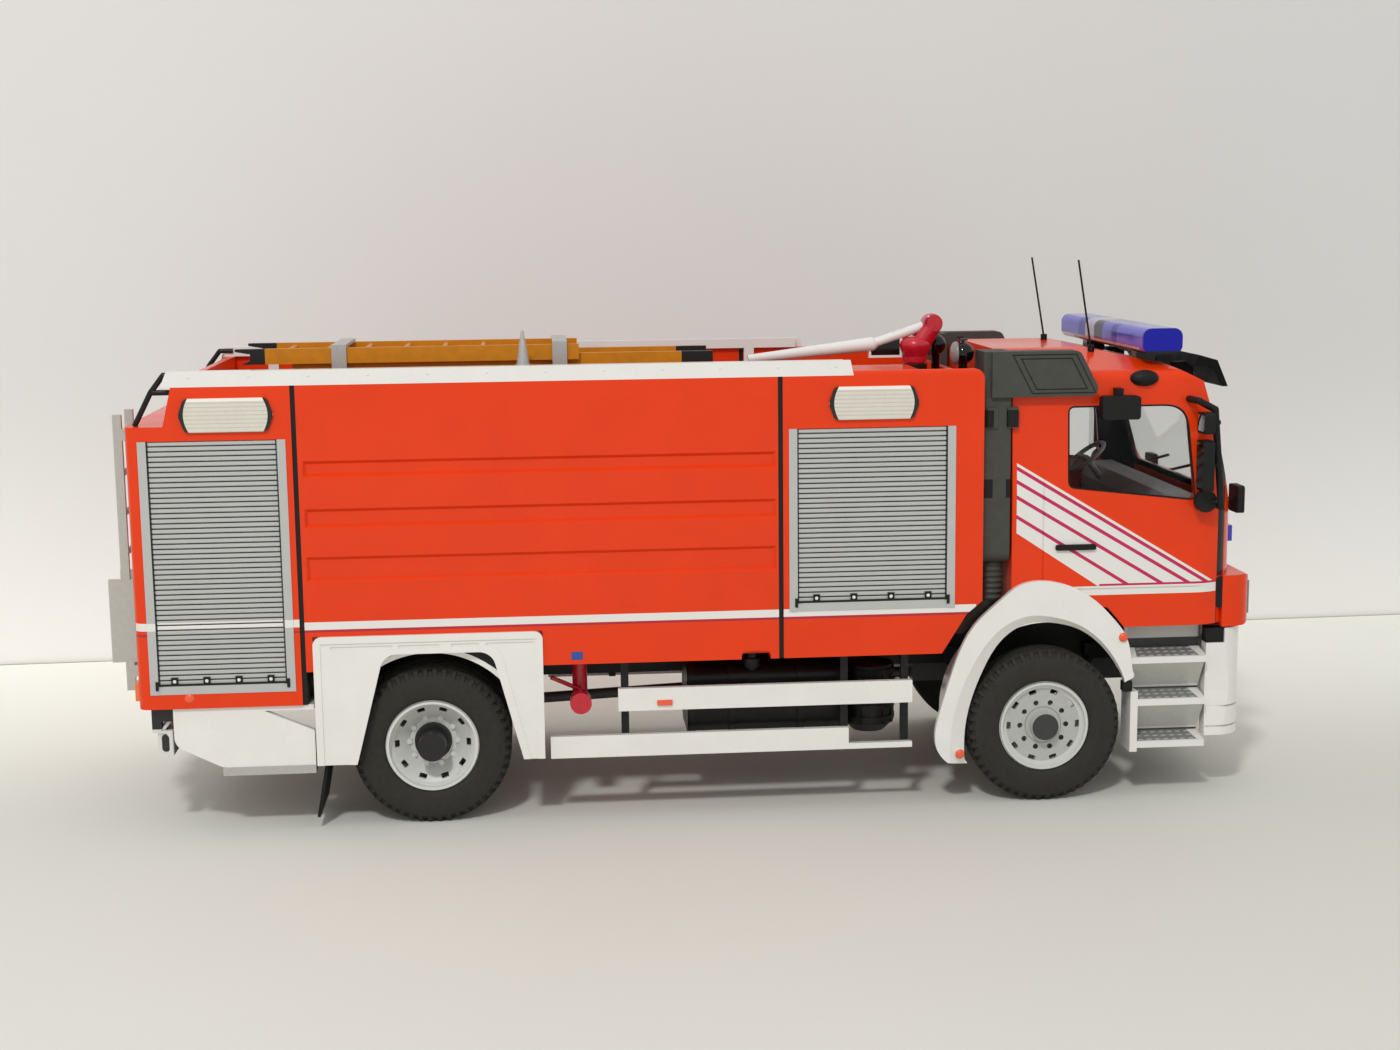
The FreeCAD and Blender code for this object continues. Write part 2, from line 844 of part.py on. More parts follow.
def corner_edges(points, radii):
    """Edges of a closed outline whose corners are rounded by the given radii."""
    count = len(points)
    corners = []
    for i in range(count):
        here = points[i]
        before = points[i - 1]
        after = points[(i + 1) % count]
        radius = radii[i]
        if radius <= 0:
            corners.append((here, here, here))
            continue
        to_before = (before - here).normalize()
        to_after = (after - here).normalize()
        half = to_before.getAngle(to_after) / 2
        setback = radius / math.tan(half)
        middle_way = (to_before + to_after).normalize()
        reach = radius / math.sin(half) - radius
        corners.append((here + to_before * setback, here + middle_way * reach, here + to_after * setback))
    edges = []
    for i in range(count):
        start, middle, end = corners[i]
        if (end - start).Length > 0:
            edges.append(Part.Arc(start, middle, end).toShape())
        following = corners[(i + 1) % count][0]
        if (following - end).Length > 0:
            edges.append(Part.LineSegment(end, following).toShape())
    return edges


def face_of(points, radii):
    """Flat face of a closed outline; one radius serves all corners."""
    if not isinstance(radii, (list, tuple)):
        radii = [radii] * len(points)
    return Part.Face(Part.Wire(corner_edges(points, radii)))


def side_plate(outline, y0, y1, radii=0):
    """Plate seen from the side: an outline of (x, z) points pushed out from y0 to y1."""
    face = face_of([Vector(x, y0, z) for x, z in outline], radii)
    return face.extrude(Vector(0, y1 - y0, 0))


def plan_plate(outline, z0, z1, radii=0):
    """Plate seen from above: an outline of (x, y) points pushed up from z0 to z1."""
    face = face_of([Vector(x, y, z0) for x, y in outline], radii)
    return face.extrude(Vector(0, 0, z1 - z0))


def cross_plate(outline, x0, x1, radii=0):
    """Plate seen from the front: an outline of (y, z) points pushed forward from x0 to x1."""
    face = face_of([Vector(x0, y, z) for y, z in outline], radii)
    return face.extrude(Vector(x1 - x0, 0, 0))


def rectangle(a0, a1, b0, b1):
    """Four corners of a rectangle, in order."""
    return [(a0, b0), (a1, b0), (a1, b1), (a0, b1)]


def join(shapes):
    """One solid from pieces that overlap or touch."""
    first = shapes[0]
    if len(shapes) > 1:
        first = first.multiFuse(shapes[1:])
    return first.removeSplitter()


def cut(shape, tools):
    """The shape with all tools taken away."""
    return shape.cut(tools) if tools else shape


def mirrored(shape):
    """The same piece on the other side of the model."""
    return shape.mirror(Vector(0, 0, 0), Vector(0, 1, 0))


def both_sides(shape):
    """The piece and its mirror image, fused where they meet."""
    return join([shape, mirrored(shape)])


def apart(shapes):
    """Separate solids kept in one node."""
    return Part.makeCompound([solid for shape in shapes for solid in shape.Solids])


def save(name, shape):
    """Write one sub-part."""
    solids = shape.Solids
    result = solids[0] if len(solids) == 1 else Part.makeCompound(solids)
    result.exportStep(os.path.join("parts", name + ".step"))


def spread(low, high, pitch):
    """Evenly spaced places that fill a span, as close to the pitch as fits."""
    count = max(1, int(round((high - low) / pitch)))
    step = (high - low) / count
    return [low + step * (i + 0.5) for i in range(count)]


# Chassis

def largest(shape):
    """The biggest of the solids that a cut left."""
    return sorted(shape.Solids, key=lambda solid: -solid.Volume)[0]


def chassis_frame():
    """Two rails with cross members and two bosses drilled for the screws of a plinth."""
    top = body_floor_z
    low = rail_low_z
    pieces = [box(rail_rear_x, rail_front_x, rail_outer_y - rail_width, rail_outer_y, low, top)]
    pieces.append(mirrored(pieces[0]))
    member_low = top - cross_member_height
    step = (rail_front_x - rail_rear_x - cross_member_length) / (cross_member_count - 1)
    for i in range(cross_member_count):
        x = rail_rear_x + step * i
        pieces.append(box(x, x + cross_member_length, -rail_outer_y, rail_outer_y, member_low, top))
    for x in (plinth_boss_front_x, plinth_boss_rear_x):
        pieces.append(rod(plinth_boss_radius, (x, plinth_boss_y, low), (x, plinth_boss_y, top)))
        half = plinth_boss_radius / 2
        pieces.append(box(x - half, x + half, -rail_outer_y, rail_outer_y, member_low, top))
    frame = join(pieces)
    holes = []
    for x in (plinth_boss_front_x, plinth_boss_rear_x):
        holes.append(rod(plinth_hole_radius, (x, plinth_boss_y, low - overrun),
                         (x, plinth_boss_y, low + plinth_hole_depth)))
    engine_way = box(engine_front_x - engine_length - gearbox_length - side_play, engine_front_x + side_play,
                     -engine_half_width - side_play, engine_half_width + side_play, low - overrun,
                     top + overrun)
    return cut(frame, holes + [engine_way])


def engine_and_gearbox():
    """Engine block under the cab with its gearbox and the drive shaft to the rear axle."""
    engine_rear = engine_front_x - engine_length
    gearbox_rear = engine_rear - gearbox_length
    block = box(engine_rear, engine_front_x, -engine_half_width, engine_half_width, engine_low_z,
                engine_low_z + engine_height)
    gearbox = box(gearbox_rear, engine_rear, -gearbox_half_width, gearbox_half_width,
                  engine_low_z, engine_low_z + gearbox_height)
    shaft_start = (gearbox_rear + overrun, 0, engine_low_z + drive_shaft_radius)
    shaft_end = (rear_axle_x + differential_radius + running_clearance, 0, axle_z)
    return join([block, gearbox, rod(drive_shaft_radius, shaft_start, shaft_end)])


def leaf_spring(x):
    """One arched spring over the axle, from the frame rail down to the axle seat and up again."""
    seat = axle_z
    y = spring_y - spring_width / 2
    top = rail_low_z + spring_mount_radius
    x0 = x - spring_half_length
    x1 = x + spring_half_length
    over = top + spring_thickness
    arch = Part.Arc(Vector(x0, y, top), Vector(x, y, seat), Vector(x1, y, top)).toShape()
    back = Part.Arc(Vector(x1, y, over), Vector(x, y, seat + spring_thickness), Vector(x0, y, over)).toShape()
    front_end = Part.LineSegment(Vector(x1, y, top), Vector(x1, y, over)).toShape()
    rear_end = Part.LineSegment(Vector(x0, y, over), Vector(x0, y, top)).toShape()
    wire = Part.Wire([arch, front_end, back, rear_end])
    return Part.Face(wire).extrude(Vector(0, spring_width, 0))


def stub_end_y(hub_proud):
    """How far out the wheel stub reaches inside the blind hub."""
    return wheel_outer_y + hub_proud - hub_wall - side_play


def front_axle():
    """Beam with a knuckle, a brake drum and a wheel stub at each end, and its springs."""
    x = front_axle_x
    inner_face = wheel_outer_y - front_tyre_width - side_play
    side = [
        rod(axle_beam_radius, (x, 0, axle_z), (x, inner_face, axle_z)),
        rod(knuckle_radius, (x, inner_face - knuckle_length, axle_z), (x, inner_face, axle_z)),
        rod(stub_radius, (x, 0, axle_z), (x, stub_end_y(front_hub_proud), axle_z)),
        leaf_spring(x),
        box(x - spring_width, x + spring_width, spring_y - spring_width / 2, spring_y + spring_width / 2,
            axle_z - axle_beam_radius, axle_z + spring_thickness),
    ]
    for end in (-1, 1):
        side.append(hanger(x + end * (spring_half_length - spring_mount_radius)))
    return both_sides(join(side))


def hanger(x):
    """Bracket that holds a spring eye on the outside of the frame rail."""
    return box(x - spring_mount_radius, x + spring_mount_radius, spring_y - spring_width / 2,
               spring_y + spring_width / 2, rail_low_z + spring_mount_radius, rail_low_z + rail_height / 2)


def rear_axle():
    """Tubular axle with the differential, drums, the stubs of the twin wheels, and its springs."""
    inner_face = wheel_outer_y - 2 * rear_tyre_width - twin_gap - side_play
    x = rear_axle_x
    side = [
        rod(rear_axle_radius, (x, 0, axle_z), (x, inner_face, axle_z)),
        rod(differential_radius, (x, 0, axle_z), (x, differential_half_length, axle_z)),
        cone(differential_radius, rear_axle_radius, (x, differential_half_length, axle_z),
             (x, differential_half_length + differential_taper, axle_z)),
        rod(knuckle_radius, (x, inner_face - knuckle_length / 2, axle_z), (x, inner_face, axle_z)),
        rod(stub_radius, (x, 0, axle_z), (x, stub_end_y(rear_hub_proud), axle_z)),
        leaf_spring(x),
        box(x - spring_width, x + spring_width, spring_y - spring_width / 2, spring_y + spring_width / 2,
            axle_z - rear_axle_radius, axle_z + spring_thickness),
    ]
    for end in (-1, 1):
        side.append(hanger(x + end * (spring_half_length - spring_mount_radius)))
    return both_sides(join(side))


# Wheels

def polygon_wire(radius, y):
    """Closed many-sided ring around the wheel's axis, one side for each block of the tread."""
    points = []
    for i in range(tyre_facets):
        angle = 2 * math.pi * i / tyre_facets
        points.append(Vector(radius * math.cos(angle), y, radius * math.sin(angle)))
    return Part.makePolygon(points + [points[0]])


def tread_slots(outer_y):
    """Cutting tools for the notches between the tread blocks on the outer shoulder."""
    half = tread_slot_width / 2
    tool = box(tyre_radius - tread_slot_depth - tyre_shoulder / 2, tyre_radius + overrun,
               outer_y - tread_slot_width, outer_y + overrun, -half, half)
    tools = []
    for i in range(tyre_facets):
        slot = tool.copy()
        slot.rotate(Vector(0, 0, 0), Vector(0, 1, 0), 360 * (i + 1 / 2) / tyre_facets)
        tools.append(slot)
    return tools


def tyre_ring(outer_y, width, slotted):
    """One tyre: side walls, bevelled shoulders and tread, bored for the rim, notched outside if asked."""
    low = outer_y - width
    shoulder_radius = tyre_radius - tyre_shoulder
    rings = [
        polygon_wire(shoulder_radius, low), polygon_wire(tyre_radius, low + tyre_shoulder_width),
        polygon_wire(tyre_radius, outer_y - tyre_shoulder_width), polygon_wire(shoulder_radius, outer_y),
    ]
    body = Part.makeLoft(rings, True, True)
    bore_radius = tyre_bead_radius / math.cos(math.pi / tyre_facets)
    bore_end = polygon_wire(bore_radius, low - overrun)
    tools = [Part.Face(bore_end).extrude(Vector(0, width + overrun * 2, 0))]
    if slotted:
        tools += tread_slots(outer_y)
    return cut(body, tools)


def placed(shape, x):
    """A wheel piece moved from the origin to its axle."""
    moved = shape.copy()
    moved.translate(Vector(x, 0, axle_z))
    return moved


def ring_of(shape_at, count, radius, start_share=0.0):
    """Copies of a small piece around the wheel's axis."""
    pieces = []
    for i in range(count):
        angle = 2 * math.pi * (i + start_share) / count
        pieces.append(shape_at(radius * math.cos(angle), radius * math.sin(angle)))
    return pieces


def hand_hole(y0, y1):
    """Cutting tools for the long holes around the rim's disc."""
    a = hand_hole_half_length
    b = hand_hole_half_height
    hole = side_plate(rectangle(-a, a, hand_hole_ring_radius - b, hand_hole_ring_radius + b), y0, y1, b / 2)
    holes = []
    for i in range(hand_hole_count):
        turned = hole.copy()
        turned.rotate(Vector(0, 0, 0), Vector(0, 1, 0), 360 * (i + 1 / 2) / hand_hole_count)
        holes.append(turned)
    return holes


def rim_barrel(outer_y, width):
    """Rolled rim, set in from the tyre's faces, with a lip on both edges."""
    low = outer_y - width
    r = tyre_bead_radius
    y0 = low + rim_inset
    y1 = outer_y - rim_inset
    barrel = rod(r, (0, y0, 0), (0, y1, 0))
    lip_radius = r - rim_wall / 3
    lips = [rod(lip_radius, (0, y1, 0), (0, y1 + rim_lip / 2, 0)),
            rod(lip_radius, (0, y0 - rim_lip / 2, 0), (0, y0, 0))]
    bore = rod(r - rim_wall, (0, low - overrun, 0), (0, outer_y + overrun, 0))
    return cut(join([barrel] + lips), [bore])


def front_rim():
    """Front rim: almost flat disc with nut pockets, hand holes and a blind hub on the stub."""
    disc_out = wheel_outer_y - front_disc_inset
    disc_in = disc_out - rim_disc_thickness
    inner_face = wheel_outer_y - front_tyre_width
    pieces = [
        rim_barrel(wheel_outer_y, front_tyre_width),
        rod(tyre_bead_radius - rim_wall / 2, (0, disc_in, 0), (0, disc_out, 0)),
        rod(hub_radius, (0, inner_face, 0), (0, wheel_outer_y + front_hub_proud, 0)),
    ]
    pocket = lambda x, z: disc_y(nut_radius, x, z, disc_out - nut_height, disc_out + overrun)
    tools = ring_of(pocket, nut_count, nut_ring_radius)
    tools += hand_hole(disc_in - overrun, disc_out + overrun)
    tools.append(rod(stub_radius + running_clearance, (0, inner_face - overrun, 0),
                     (0, wheel_outer_y + front_hub_proud - hub_wall, 0)))
    return cut(join(pieces), tools)


def rear_rim():
    """Rear rims: two barrels on one deep dished disc and hub, with nuts and hand holes."""
    inner_outer_y = wheel_outer_y - rear_tyre_width - twin_gap
    inner_face = inner_outer_y - rear_tyre_width
    dish_out = wheel_outer_y - rear_disc_inset
    dish_in = dish_out - rim_disc_thickness
    r = tyre_bead_radius - rim_wall / 2
    cone_top = dish_out + rear_disc_inset / 2
    outer_cone = cone(dish_radius, r, (0, dish_out, 0), (0, cone_top, 0))
    t = rim_disc_thickness
    inner_cone = cone(dish_radius - t, r - t, (0, dish_out, 0), (0, cone_top, 0))
    spacer_low = inner_face + rear_tyre_width / 2
    pieces = [
        rim_barrel(wheel_outer_y, rear_tyre_width),
        rim_barrel(inner_outer_y, rear_tyre_width),
        cut(outer_cone, [inner_cone]),
        rod(dish_radius, (0, spacer_low, 0), (0, dish_out, 0)),
        rod(r, (0, spacer_low, 0), (0, spacer_low + rim_disc_thickness, 0)),
        rod(rear_hub_radius, (0, inner_face, 0), (0, dish_out + rear_hub_proud, 0)),
        rod(hub_radius, (0, inner_face, 0), (0, wheel_outer_y + rear_hub_proud - hub_wall / 2, 0)),
    ]
    nut = lambda x, z: disc_y(nut_radius, x, z, dish_in, dish_out + nut_height)
    pieces += ring_of(nut, nut_count, nut_ring_radius)
    tools = hand_hole(dish_out - seat_gap, cone_top + overrun)
    tools.append(rod(stub_radius + running_clearance, (0, inner_face - overrun, 0),
                     (0, wheel_outer_y + rear_hub_proud - hub_wall, 0)))
    return cut(join(pieces), tools)


def wheels():
    """All wheel nodes: four tyre nodes and four rim nodes."""
    front_tyre = tyre_ring(wheel_outer_y, front_tyre_width, True)
    inner_outer_y = wheel_outer_y - rear_tyre_width - twin_gap
    rear_tyres = apart([tyre_ring(wheel_outer_y, rear_tyre_width, True),
                        tyre_ring(inner_outer_y, rear_tyre_width, False)])
    sets = (("front", front_axle_x, front_tyre, front_rim()), ("rear", rear_axle_x, rear_tyres, rear_rim()))
    for place, x, tyre, rim in sets:
        save("tyre_" + place + "_left", placed(tyre, x))
        save("rim_" + place + "_left", placed(rim, x))
        save("tyre_" + place + "_right", placed(mirrored(tyre), x))
        save("rim_" + place + "_right", placed(mirrored(rim), x))


# Body modules

def body_section(inset):
    """Corners of the body's cross section above a floor, drawn in by an inset."""
    half = body_half_width - inset
    return half, body_top_z - inset


def module(x0, x1, floor_z):
    """Solid body module between two stations, with rounded top edges."""
    half, top = body_section(0)
    outline = [(-half, floor_z), (half, floor_z), (half, top), (-half, top)]
    return cross_plate(outline, x0, x1, [0, 0, body_edge_round, body_edge_round])


def deck_well(x0, x1):
    """The sunken roof deck between the side walls."""
    half = body_half_width - deck_wall
    return box(x0, x1, -half, half, deck_z, body_top_z + overrun)


def shutter_pocket(x0, x1, z0):
    """Shallow pocket in the right side wall for a shutter."""
    face = -body_half_width
    return box(x0, x1, face - overrun, face + shutter_recess, z0, shutter_top_z)


def lamp_outline(x1):
    """Outline of a scene lamp with its bowed ends."""
    x0 = x1 - scene_lamp_length
    bow = scene_lamp_bow
    middle = (scene_lamp_z0 + scene_lamp_z1) / 2
    return [(x0 + bow, scene_lamp_z0), (x1 - bow, scene_lamp_z0), (x1, middle), (x1 - bow, scene_lamp_z1),
            (x0 + bow, scene_lamp_z1), (x0, middle)]


def lamp_pocket(x1):
    """Pocket for a scene lamp in the right side wall."""
    face = -body_half_width
    return side_plate(lamp_outline(x1), face - overrun, face + scene_lamp_sink, scene_lamp_bow)


def two(tool):
    """A cutting tool and its mirror image."""
    return [tool, mirrored(tool)]


def rear_locker():
    """Rear locker with the stepped rear roof edge and pockets for its shutters and lamps."""
    x1 = rear_seam_x - seam_width / 2
    block = module(body_rear_x, x1, rear_locker_floor_z)
    profile = [
        (body_rear_x, rear_locker_floor_z), (x1, rear_locker_floor_z), (x1, body_top_z + overrun),
        (notch_top_x, body_top_z + overrun), (notch_top_x, body_top_z), (notch_front_x, notch_z),
        (body_rear_x, notch_z),
    ]
    half = body_half_width + overrun
    block = block.common(side_plate(profile, -half, half))
    plan = rectangle(body_rear_x, x1 + overrun, -body_half_width, body_half_width)
    corner = body_corner_round
    block = block.common(plan_plate(plan, 0, body_top_z + overrun, [corner, 0, 0, corner]))
    channel = box(body_rear_x - overrun, x1 + overrun, -frame_channel_half_width, frame_channel_half_width,
                  rear_locker_floor_z - overrun, body_floor_z)
    tail = box(body_rear_x - overrun, body_rear_x + shutter_recess, -tail_shutter_half_width,
               tail_shutter_half_width, tail_shutter_z0, shutter_top_z)
    tools = [channel, tail, deck_well(notch_top_x + deck_wall, x1 + overrun)]
    tools += two(shutter_pocket(rear_shutter_x0, rear_shutter_x1, rear_shutter_z0))
    tools += two(lamp_pocket(rear_lamp_x1))
    return cut(block, tools)


def rib_tool(z0, z1):
    """Shallow channel with sloping edges in the tank's right side."""
    face = -body_half_width
    x0 = rear_seam_x + seam_width / 2 + tank_rib_margin
    x1 = front_seam_x - seam_width / 2 - tank_rib_margin / 2
    bevel = tank_rib_bevel
    outer = face_of([Vector(x, face, z) for x, z in rectangle(x0, x1, z0, z1)], 0)
    inner = face_of([Vector(x, face + tank_rib_depth, z)
                     for x, z in rectangle(x0 + bevel, x1 - bevel, z0 + bevel, z1 - bevel)], 0)
    return Part.makeLoft([outer.OuterWire, inner.OuterWire], True, True)


def tank_body():
    """Tank module with its three side channels, wheel wells and the filler pocket."""
    x0 = rear_seam_x + seam_width / 2
    x1 = front_seam_x - seam_width / 2
    block = module(x0, x1, body_floor_z)
    tools = [deck_well(x0 - overrun, x1 + overrun)]
    height = body_top_z - body_floor_z
    for low_share, high_share in tank_rib_shares:
        tools += two(rib_tool(body_floor_z + height * low_share, body_floor_z + height * high_share))
    outer = body_half_width + overrun
    well = rod(rear_band_radius + rear_band, (rear_axle_x, rear_band_inner_y, axle_z),
               (rear_axle_x, outer, axle_z))
    tools += two(well)
    plate_back = rear_guard_outer_y - rear_guard_thickness
    seat = box(rear_guard_x0, rear_guard_x1, plate_back, rear_guard_outer_y + overrun, 0, rear_guard_z1)
    tools += two(seat)
    pocket = side_plate(
        rectangle(filler_x - filler_pocket_half_length, filler_x + filler_pocket_half_length,
                  body_floor_z - filler_pocket_height, body_floor_z + filler_pocket_height / 2),
        -outer, filler_pocket_depth - body_half_width, filler_pocket_height / 3)
    tools.append(pocket)
    return cut(block, tools)


def front_locker():
    """Front locker: sunken roof with a platform beside the cannon, low front corner cut over the wheel."""
    x0 = front_seam_x + seam_width / 2
    block = module(x0, body_front_x, body_floor_z)
    cut_mid_z = body_floor_z + locker_cut_mid_height
    cut_top_z = body_floor_z + locker_cut_top_height
    profile = [
        (x0, body_floor_z), (locker_cut_x, body_floor_z), (locker_cut_mid_x, cut_mid_z),
        (body_front_x, cut_top_z), (body_front_x, body_top_z), (x0, body_top_z),
    ]
    half = body_half_width + overrun
    block = block.common(side_plate(profile, -half, half, [0, 0, 0, 0, body_corner_round, 0]))
    well = deck_well(x0 - overrun, body_front_x - deck_wall)
    platform = box(body_front_x - platform_rear_setback, body_front_x - platform_front_setback,
                   -body_half_width, -platform_inner_y, 0, body_top_z - platform_drop)
    inner = body_half_width - deck_wall
    coaming = box(body_front_x - deck_wall - overrun, body_front_x + overrun, -inner, inner,
                  body_top_z - front_coaming_drop, body_top_z + overrun)
    tools = [cut(well, [platform]), coaming]
    tools += two(shutter_pocket(front_shutter_x0, front_shutter_x1, front_shutter_z0))
    tools += two(lamp_pocket(front_lamp_x1))
    return cut(block, tools)


def body_seams():
    """Black joint strips between the body modules."""
    half, top = body_section(seam_inset)
    strips = []
    for x, floor_z in ((rear_seam_x, rear_locker_floor_z), (front_seam_x, body_floor_z)):
        outline = [(-half, floor_z), (half, floor_z), (half, top), (-half, top)]
        x0 = x - seam_width / 2
        x1 = x + seam_width / 2
        strip = cross_plate(outline, x0, x1, [0, 0, body_edge_round, body_edge_round])
        well = box(x0 - overrun, x1 + overrun, deck_wall - body_half_width, body_half_width - deck_wall,
                   deck_z, body_top_z + overrun)
        channel = box(x0 - overrun, x1 + overrun, -frame_channel_half_width, frame_channel_half_width,
                      0, body_floor_z)
        strips.append(cut(strip, [well, channel]))
    return apart(strips)


def shutter_places():
    """The two side shutters as (rear end, front end, sill height)."""
    return ((rear_shutter_x0, rear_shutter_x1, rear_shutter_z0),
            (front_shutter_x0, front_shutter_x1, front_shutter_z0))


def shutter(width, z0, z1):
    """Roller shutter seen from its outside: side columns, ribbed slats and the bottom bar.

    It is built in a local frame: x along the opening from zero, y outward from the wall's face, z up.
    """
    back = -shutter_recess
    base = back + shutter_slat_back
    x0 = shutter_column
    x1 = width - shutter_column
    front = shutter_frame_proud
    columns = [box(0, x0, back, front, z0, z1), box(x1, width, back, front, z0, z1)]
    low = z0 + bottom_bar_height
    count = int(round((z1 - low) / slat_pitch))
    pitch = (z1 - low) / count
    profile = [(back, low), (back, z1)]
    for i in range(count):
        top = z1 - pitch * i
        profile.append((base, top))
        profile.append((base + slat_depth, top - pitch / 4))
        profile.append((base + slat_depth, top - pitch * 3 / 4))
    profile.append((base, low))
    slats = cross_plate(profile, x0, x1)
    bar = box(x0, x1, back, shutter_frame_proud / 2, z0, low)
    return join(columns + [slats, bar])


def shutters():
    """Two shutters on each side and one on the rear face."""
    pieces = []
    for x0, x1, z0 in shutter_places():
        left = shutter(x1 - x0, z0, shutter_top_z)
        left.translate(Vector(x0, body_half_width, 0))
        pieces += [left, mirrored(left)]
    tail = shutter(2 * tail_shutter_half_width, tail_shutter_z0, shutter_top_z)
    tail.rotate(Vector(0, 0, 0), Vector(0, 0, 1), 90)
    tail.translate(Vector(body_rear_x, -tail_shutter_half_width, 0))
    pieces.append(tail)
    return apart(pieces)


def shutter_fittings():
    """Black pull rods with their end blocks and the latches on the lowest slats of the side shutters."""
    pieces = []
    base = body_half_width - shutter_recess + shutter_slat_back + slat_depth
    for x0, x1, z0 in shutter_places():
        low = z0 + bottom_bar_height
        face = body_half_width + shutter_frame_proud
        r = shutter_rod_radius
        rod_piece = box(x0 + shutter_column, x1 - shutter_column, base, face, low, low + r * 2)
        ends = [box(x, x + rod_end_length, face, face + shutter_frame_proud, low - rod_end_height / 2,
                    low + rod_end_height / 2)
                for x in (x0 + shutter_column - rod_end_length, x1 - shutter_column)]
        links = [box(x, x + rod_end_length * 2, face - r, face + shutter_frame_proud, low, low + r * 2)
                 for x in (x0 + shutter_column - rod_end_length, x1 - shutter_column - rod_end_length)]
        latches = []
        inner_x0 = x0 + shutter_column
        inner_x1 = x1 - shutter_column
        for x in spread(inner_x0, inner_x1, (inner_x1 - inner_x0) / latch_count):
            latches.append(box(x - latch_length / 2, x + latch_length / 2, base, face, low,
                               low + latch_height))
        piece = join([rod_piece] + ends + links + latches)
        pieces += [piece, mirrored(piece)]
    return cut(apart(pieces), [shutters()])


def scene_lamps():
    """Scene lamps high on both sides of the lockers."""
    face = -body_half_width
    pieces = []
    for x1 in (rear_lamp_x1, front_lamp_x1):
        lamp = side_plate(lamp_outline(x1), face - scene_lamp_proud, face + scene_lamp_sink, scene_lamp_bow)
        pieces += [lamp, mirrored(lamp)]
    return apart(pieces)


# Roof

def roof_rails():
    """White bulwark on each side wall with posts that stand on the deck inside."""
    outer = -body_half_width
    slant = roof_rail_end_slant
    low = body_top_z - body_edge_round
    outline = [
        (roof_rail_rear_x, low), (roof_rail_front_x + slant / 2, low), (roof_rail_front_x, rail_top_z),
        (roof_rail_rear_x + slant, rail_top_z),
    ]
    band = side_plate(outline, outer, outer + roof_rail_thickness)
    wall = cut(module(body_rear_x, body_front_x, body_floor_z),
               [deck_well(body_rear_x - overrun, body_front_x + overrun)])
    band = cut(band, [wall])
    inner = deck_wall - body_half_width
    strip = box(roof_rail_rear_x + slant, roof_rail_front_x - slant, outer + roof_rail_thickness,
                inner + roof_post_depth, body_top_z, rail_top_z)
    posts = [band, strip]
    for x in spread(roof_rail_rear_x + slant, roof_rail_front_x - slant, roof_post_pitch):
        posts.append(box(x - roof_post_length / 2, x + roof_post_length / 2, inner,
                         inner + roof_post_depth, deck_z, rail_top_z))
    rail = cut(join(posts), [rear_locker()])
    return apart([rail, mirrored(rail)])


def roof_ladder():
    """Two nested ladder sections; the lower one runs further forward."""
    sections = []
    lower_gap = ladder_stile_width + seat_gap
    spans = (
        (upper_section_x0, upper_section_x1, ladder_near_y, ladder_far_y, upper_stile_z0, upper_stile_z1,
         rung_height_share),
        (lower_section_x0, lower_section_x1, ladder_near_y + lower_gap, ladder_far_y - lower_gap,
         lower_stile_z0, lower_stile_z1, 1 - rung_height_share),
    )
    for x0, x1, y0, y1, z0, z1, share in spans:
        pieces = [
            box(x0, x1, y0, y0 + ladder_stile_width, z0, z1),
            box(x0, x1, y1 - ladder_stile_width, y1, z0, z1),
        ]
        rung_z = z0 + (z1 - z0) * share
        for x in spread(x0, x1, ladder_rung_pitch):
            pieces.append(rod(ladder_rung_radius, (x, y0, rung_z), (x, y1, rung_z)))
        sections.append(join(pieces))
    return apart(sections)


def ladder_fittings():
    """Forked end fittings of the ladder and the straps that hold it down on the deck."""
    pieces = []
    half = (upper_stile_z1 - upper_stile_z0) / 2
    for y0, y1 in ((ladder_near_y, ladder_near_y + ladder_stile_width),
                   (ladder_far_y - ladder_stile_width, ladder_far_y)):
        x1 = upper_section_x0
        x0 = x1 - ladder_fork_length
        root = x1 - ladder_fork_length / 2
        outline = [
            (x1, upper_stile_z0), (x1, upper_stile_z1), (x0, upper_stile_z1),
            (x0, upper_stile_z1 - fork_prong / 2), (root, upper_stile_z1 - fork_prong),
            (root, upper_stile_z0 + half / 2), (x0 + fork_prong, upper_stile_z0),
        ]
        pieces.append(side_plate(outline, y0, y1))
    gap = ladder_stile_width + seat_gap
    inner_y0 = ladder_near_y + gap
    inner_y1 = ladder_far_y - gap
    for y0, y1 in ((inner_y0, inner_y0 + ladder_stile_width), (inner_y1 - ladder_stile_width, inner_y1)):
        x0 = lower_section_x1
        pieces.append(box(x0, x0 + lower_fork_length, y0, y1, lower_stile_z0 + fork_prong, lower_stile_z1))
    for share in strap_shares:
        x = upper_section_x0 + upper_section_length * share
        x0 = x - strap_width / 2
        x1 = x + strap_width / 2
        bow = box(x0, x1, ladder_near_y - strap_thickness, ladder_far_y + strap_thickness, deck_z,
                  upper_stile_z1 + strap_thickness)
        inside = box(x0 - overrun, x1 + overrun, ladder_near_y, ladder_far_y, deck_z + strap_thickness,
                     upper_stile_z1)
        rest = box(x0, x1, inner_y0, inner_y1, lower_stile_z0 - strap_thickness, lower_stile_z0)
        foot = box(x0, x1, inner_y0, inner_y0 + ladder_stile_width, deck_z, lower_stile_z0)
        far_foot = box(x0, x1, inner_y1 - ladder_stile_width, inner_y1, deck_z, lower_stile_z0)
        pieces.append(join([cut(bow, [inside]), rest, foot, far_foot]))
    return apart(pieces)


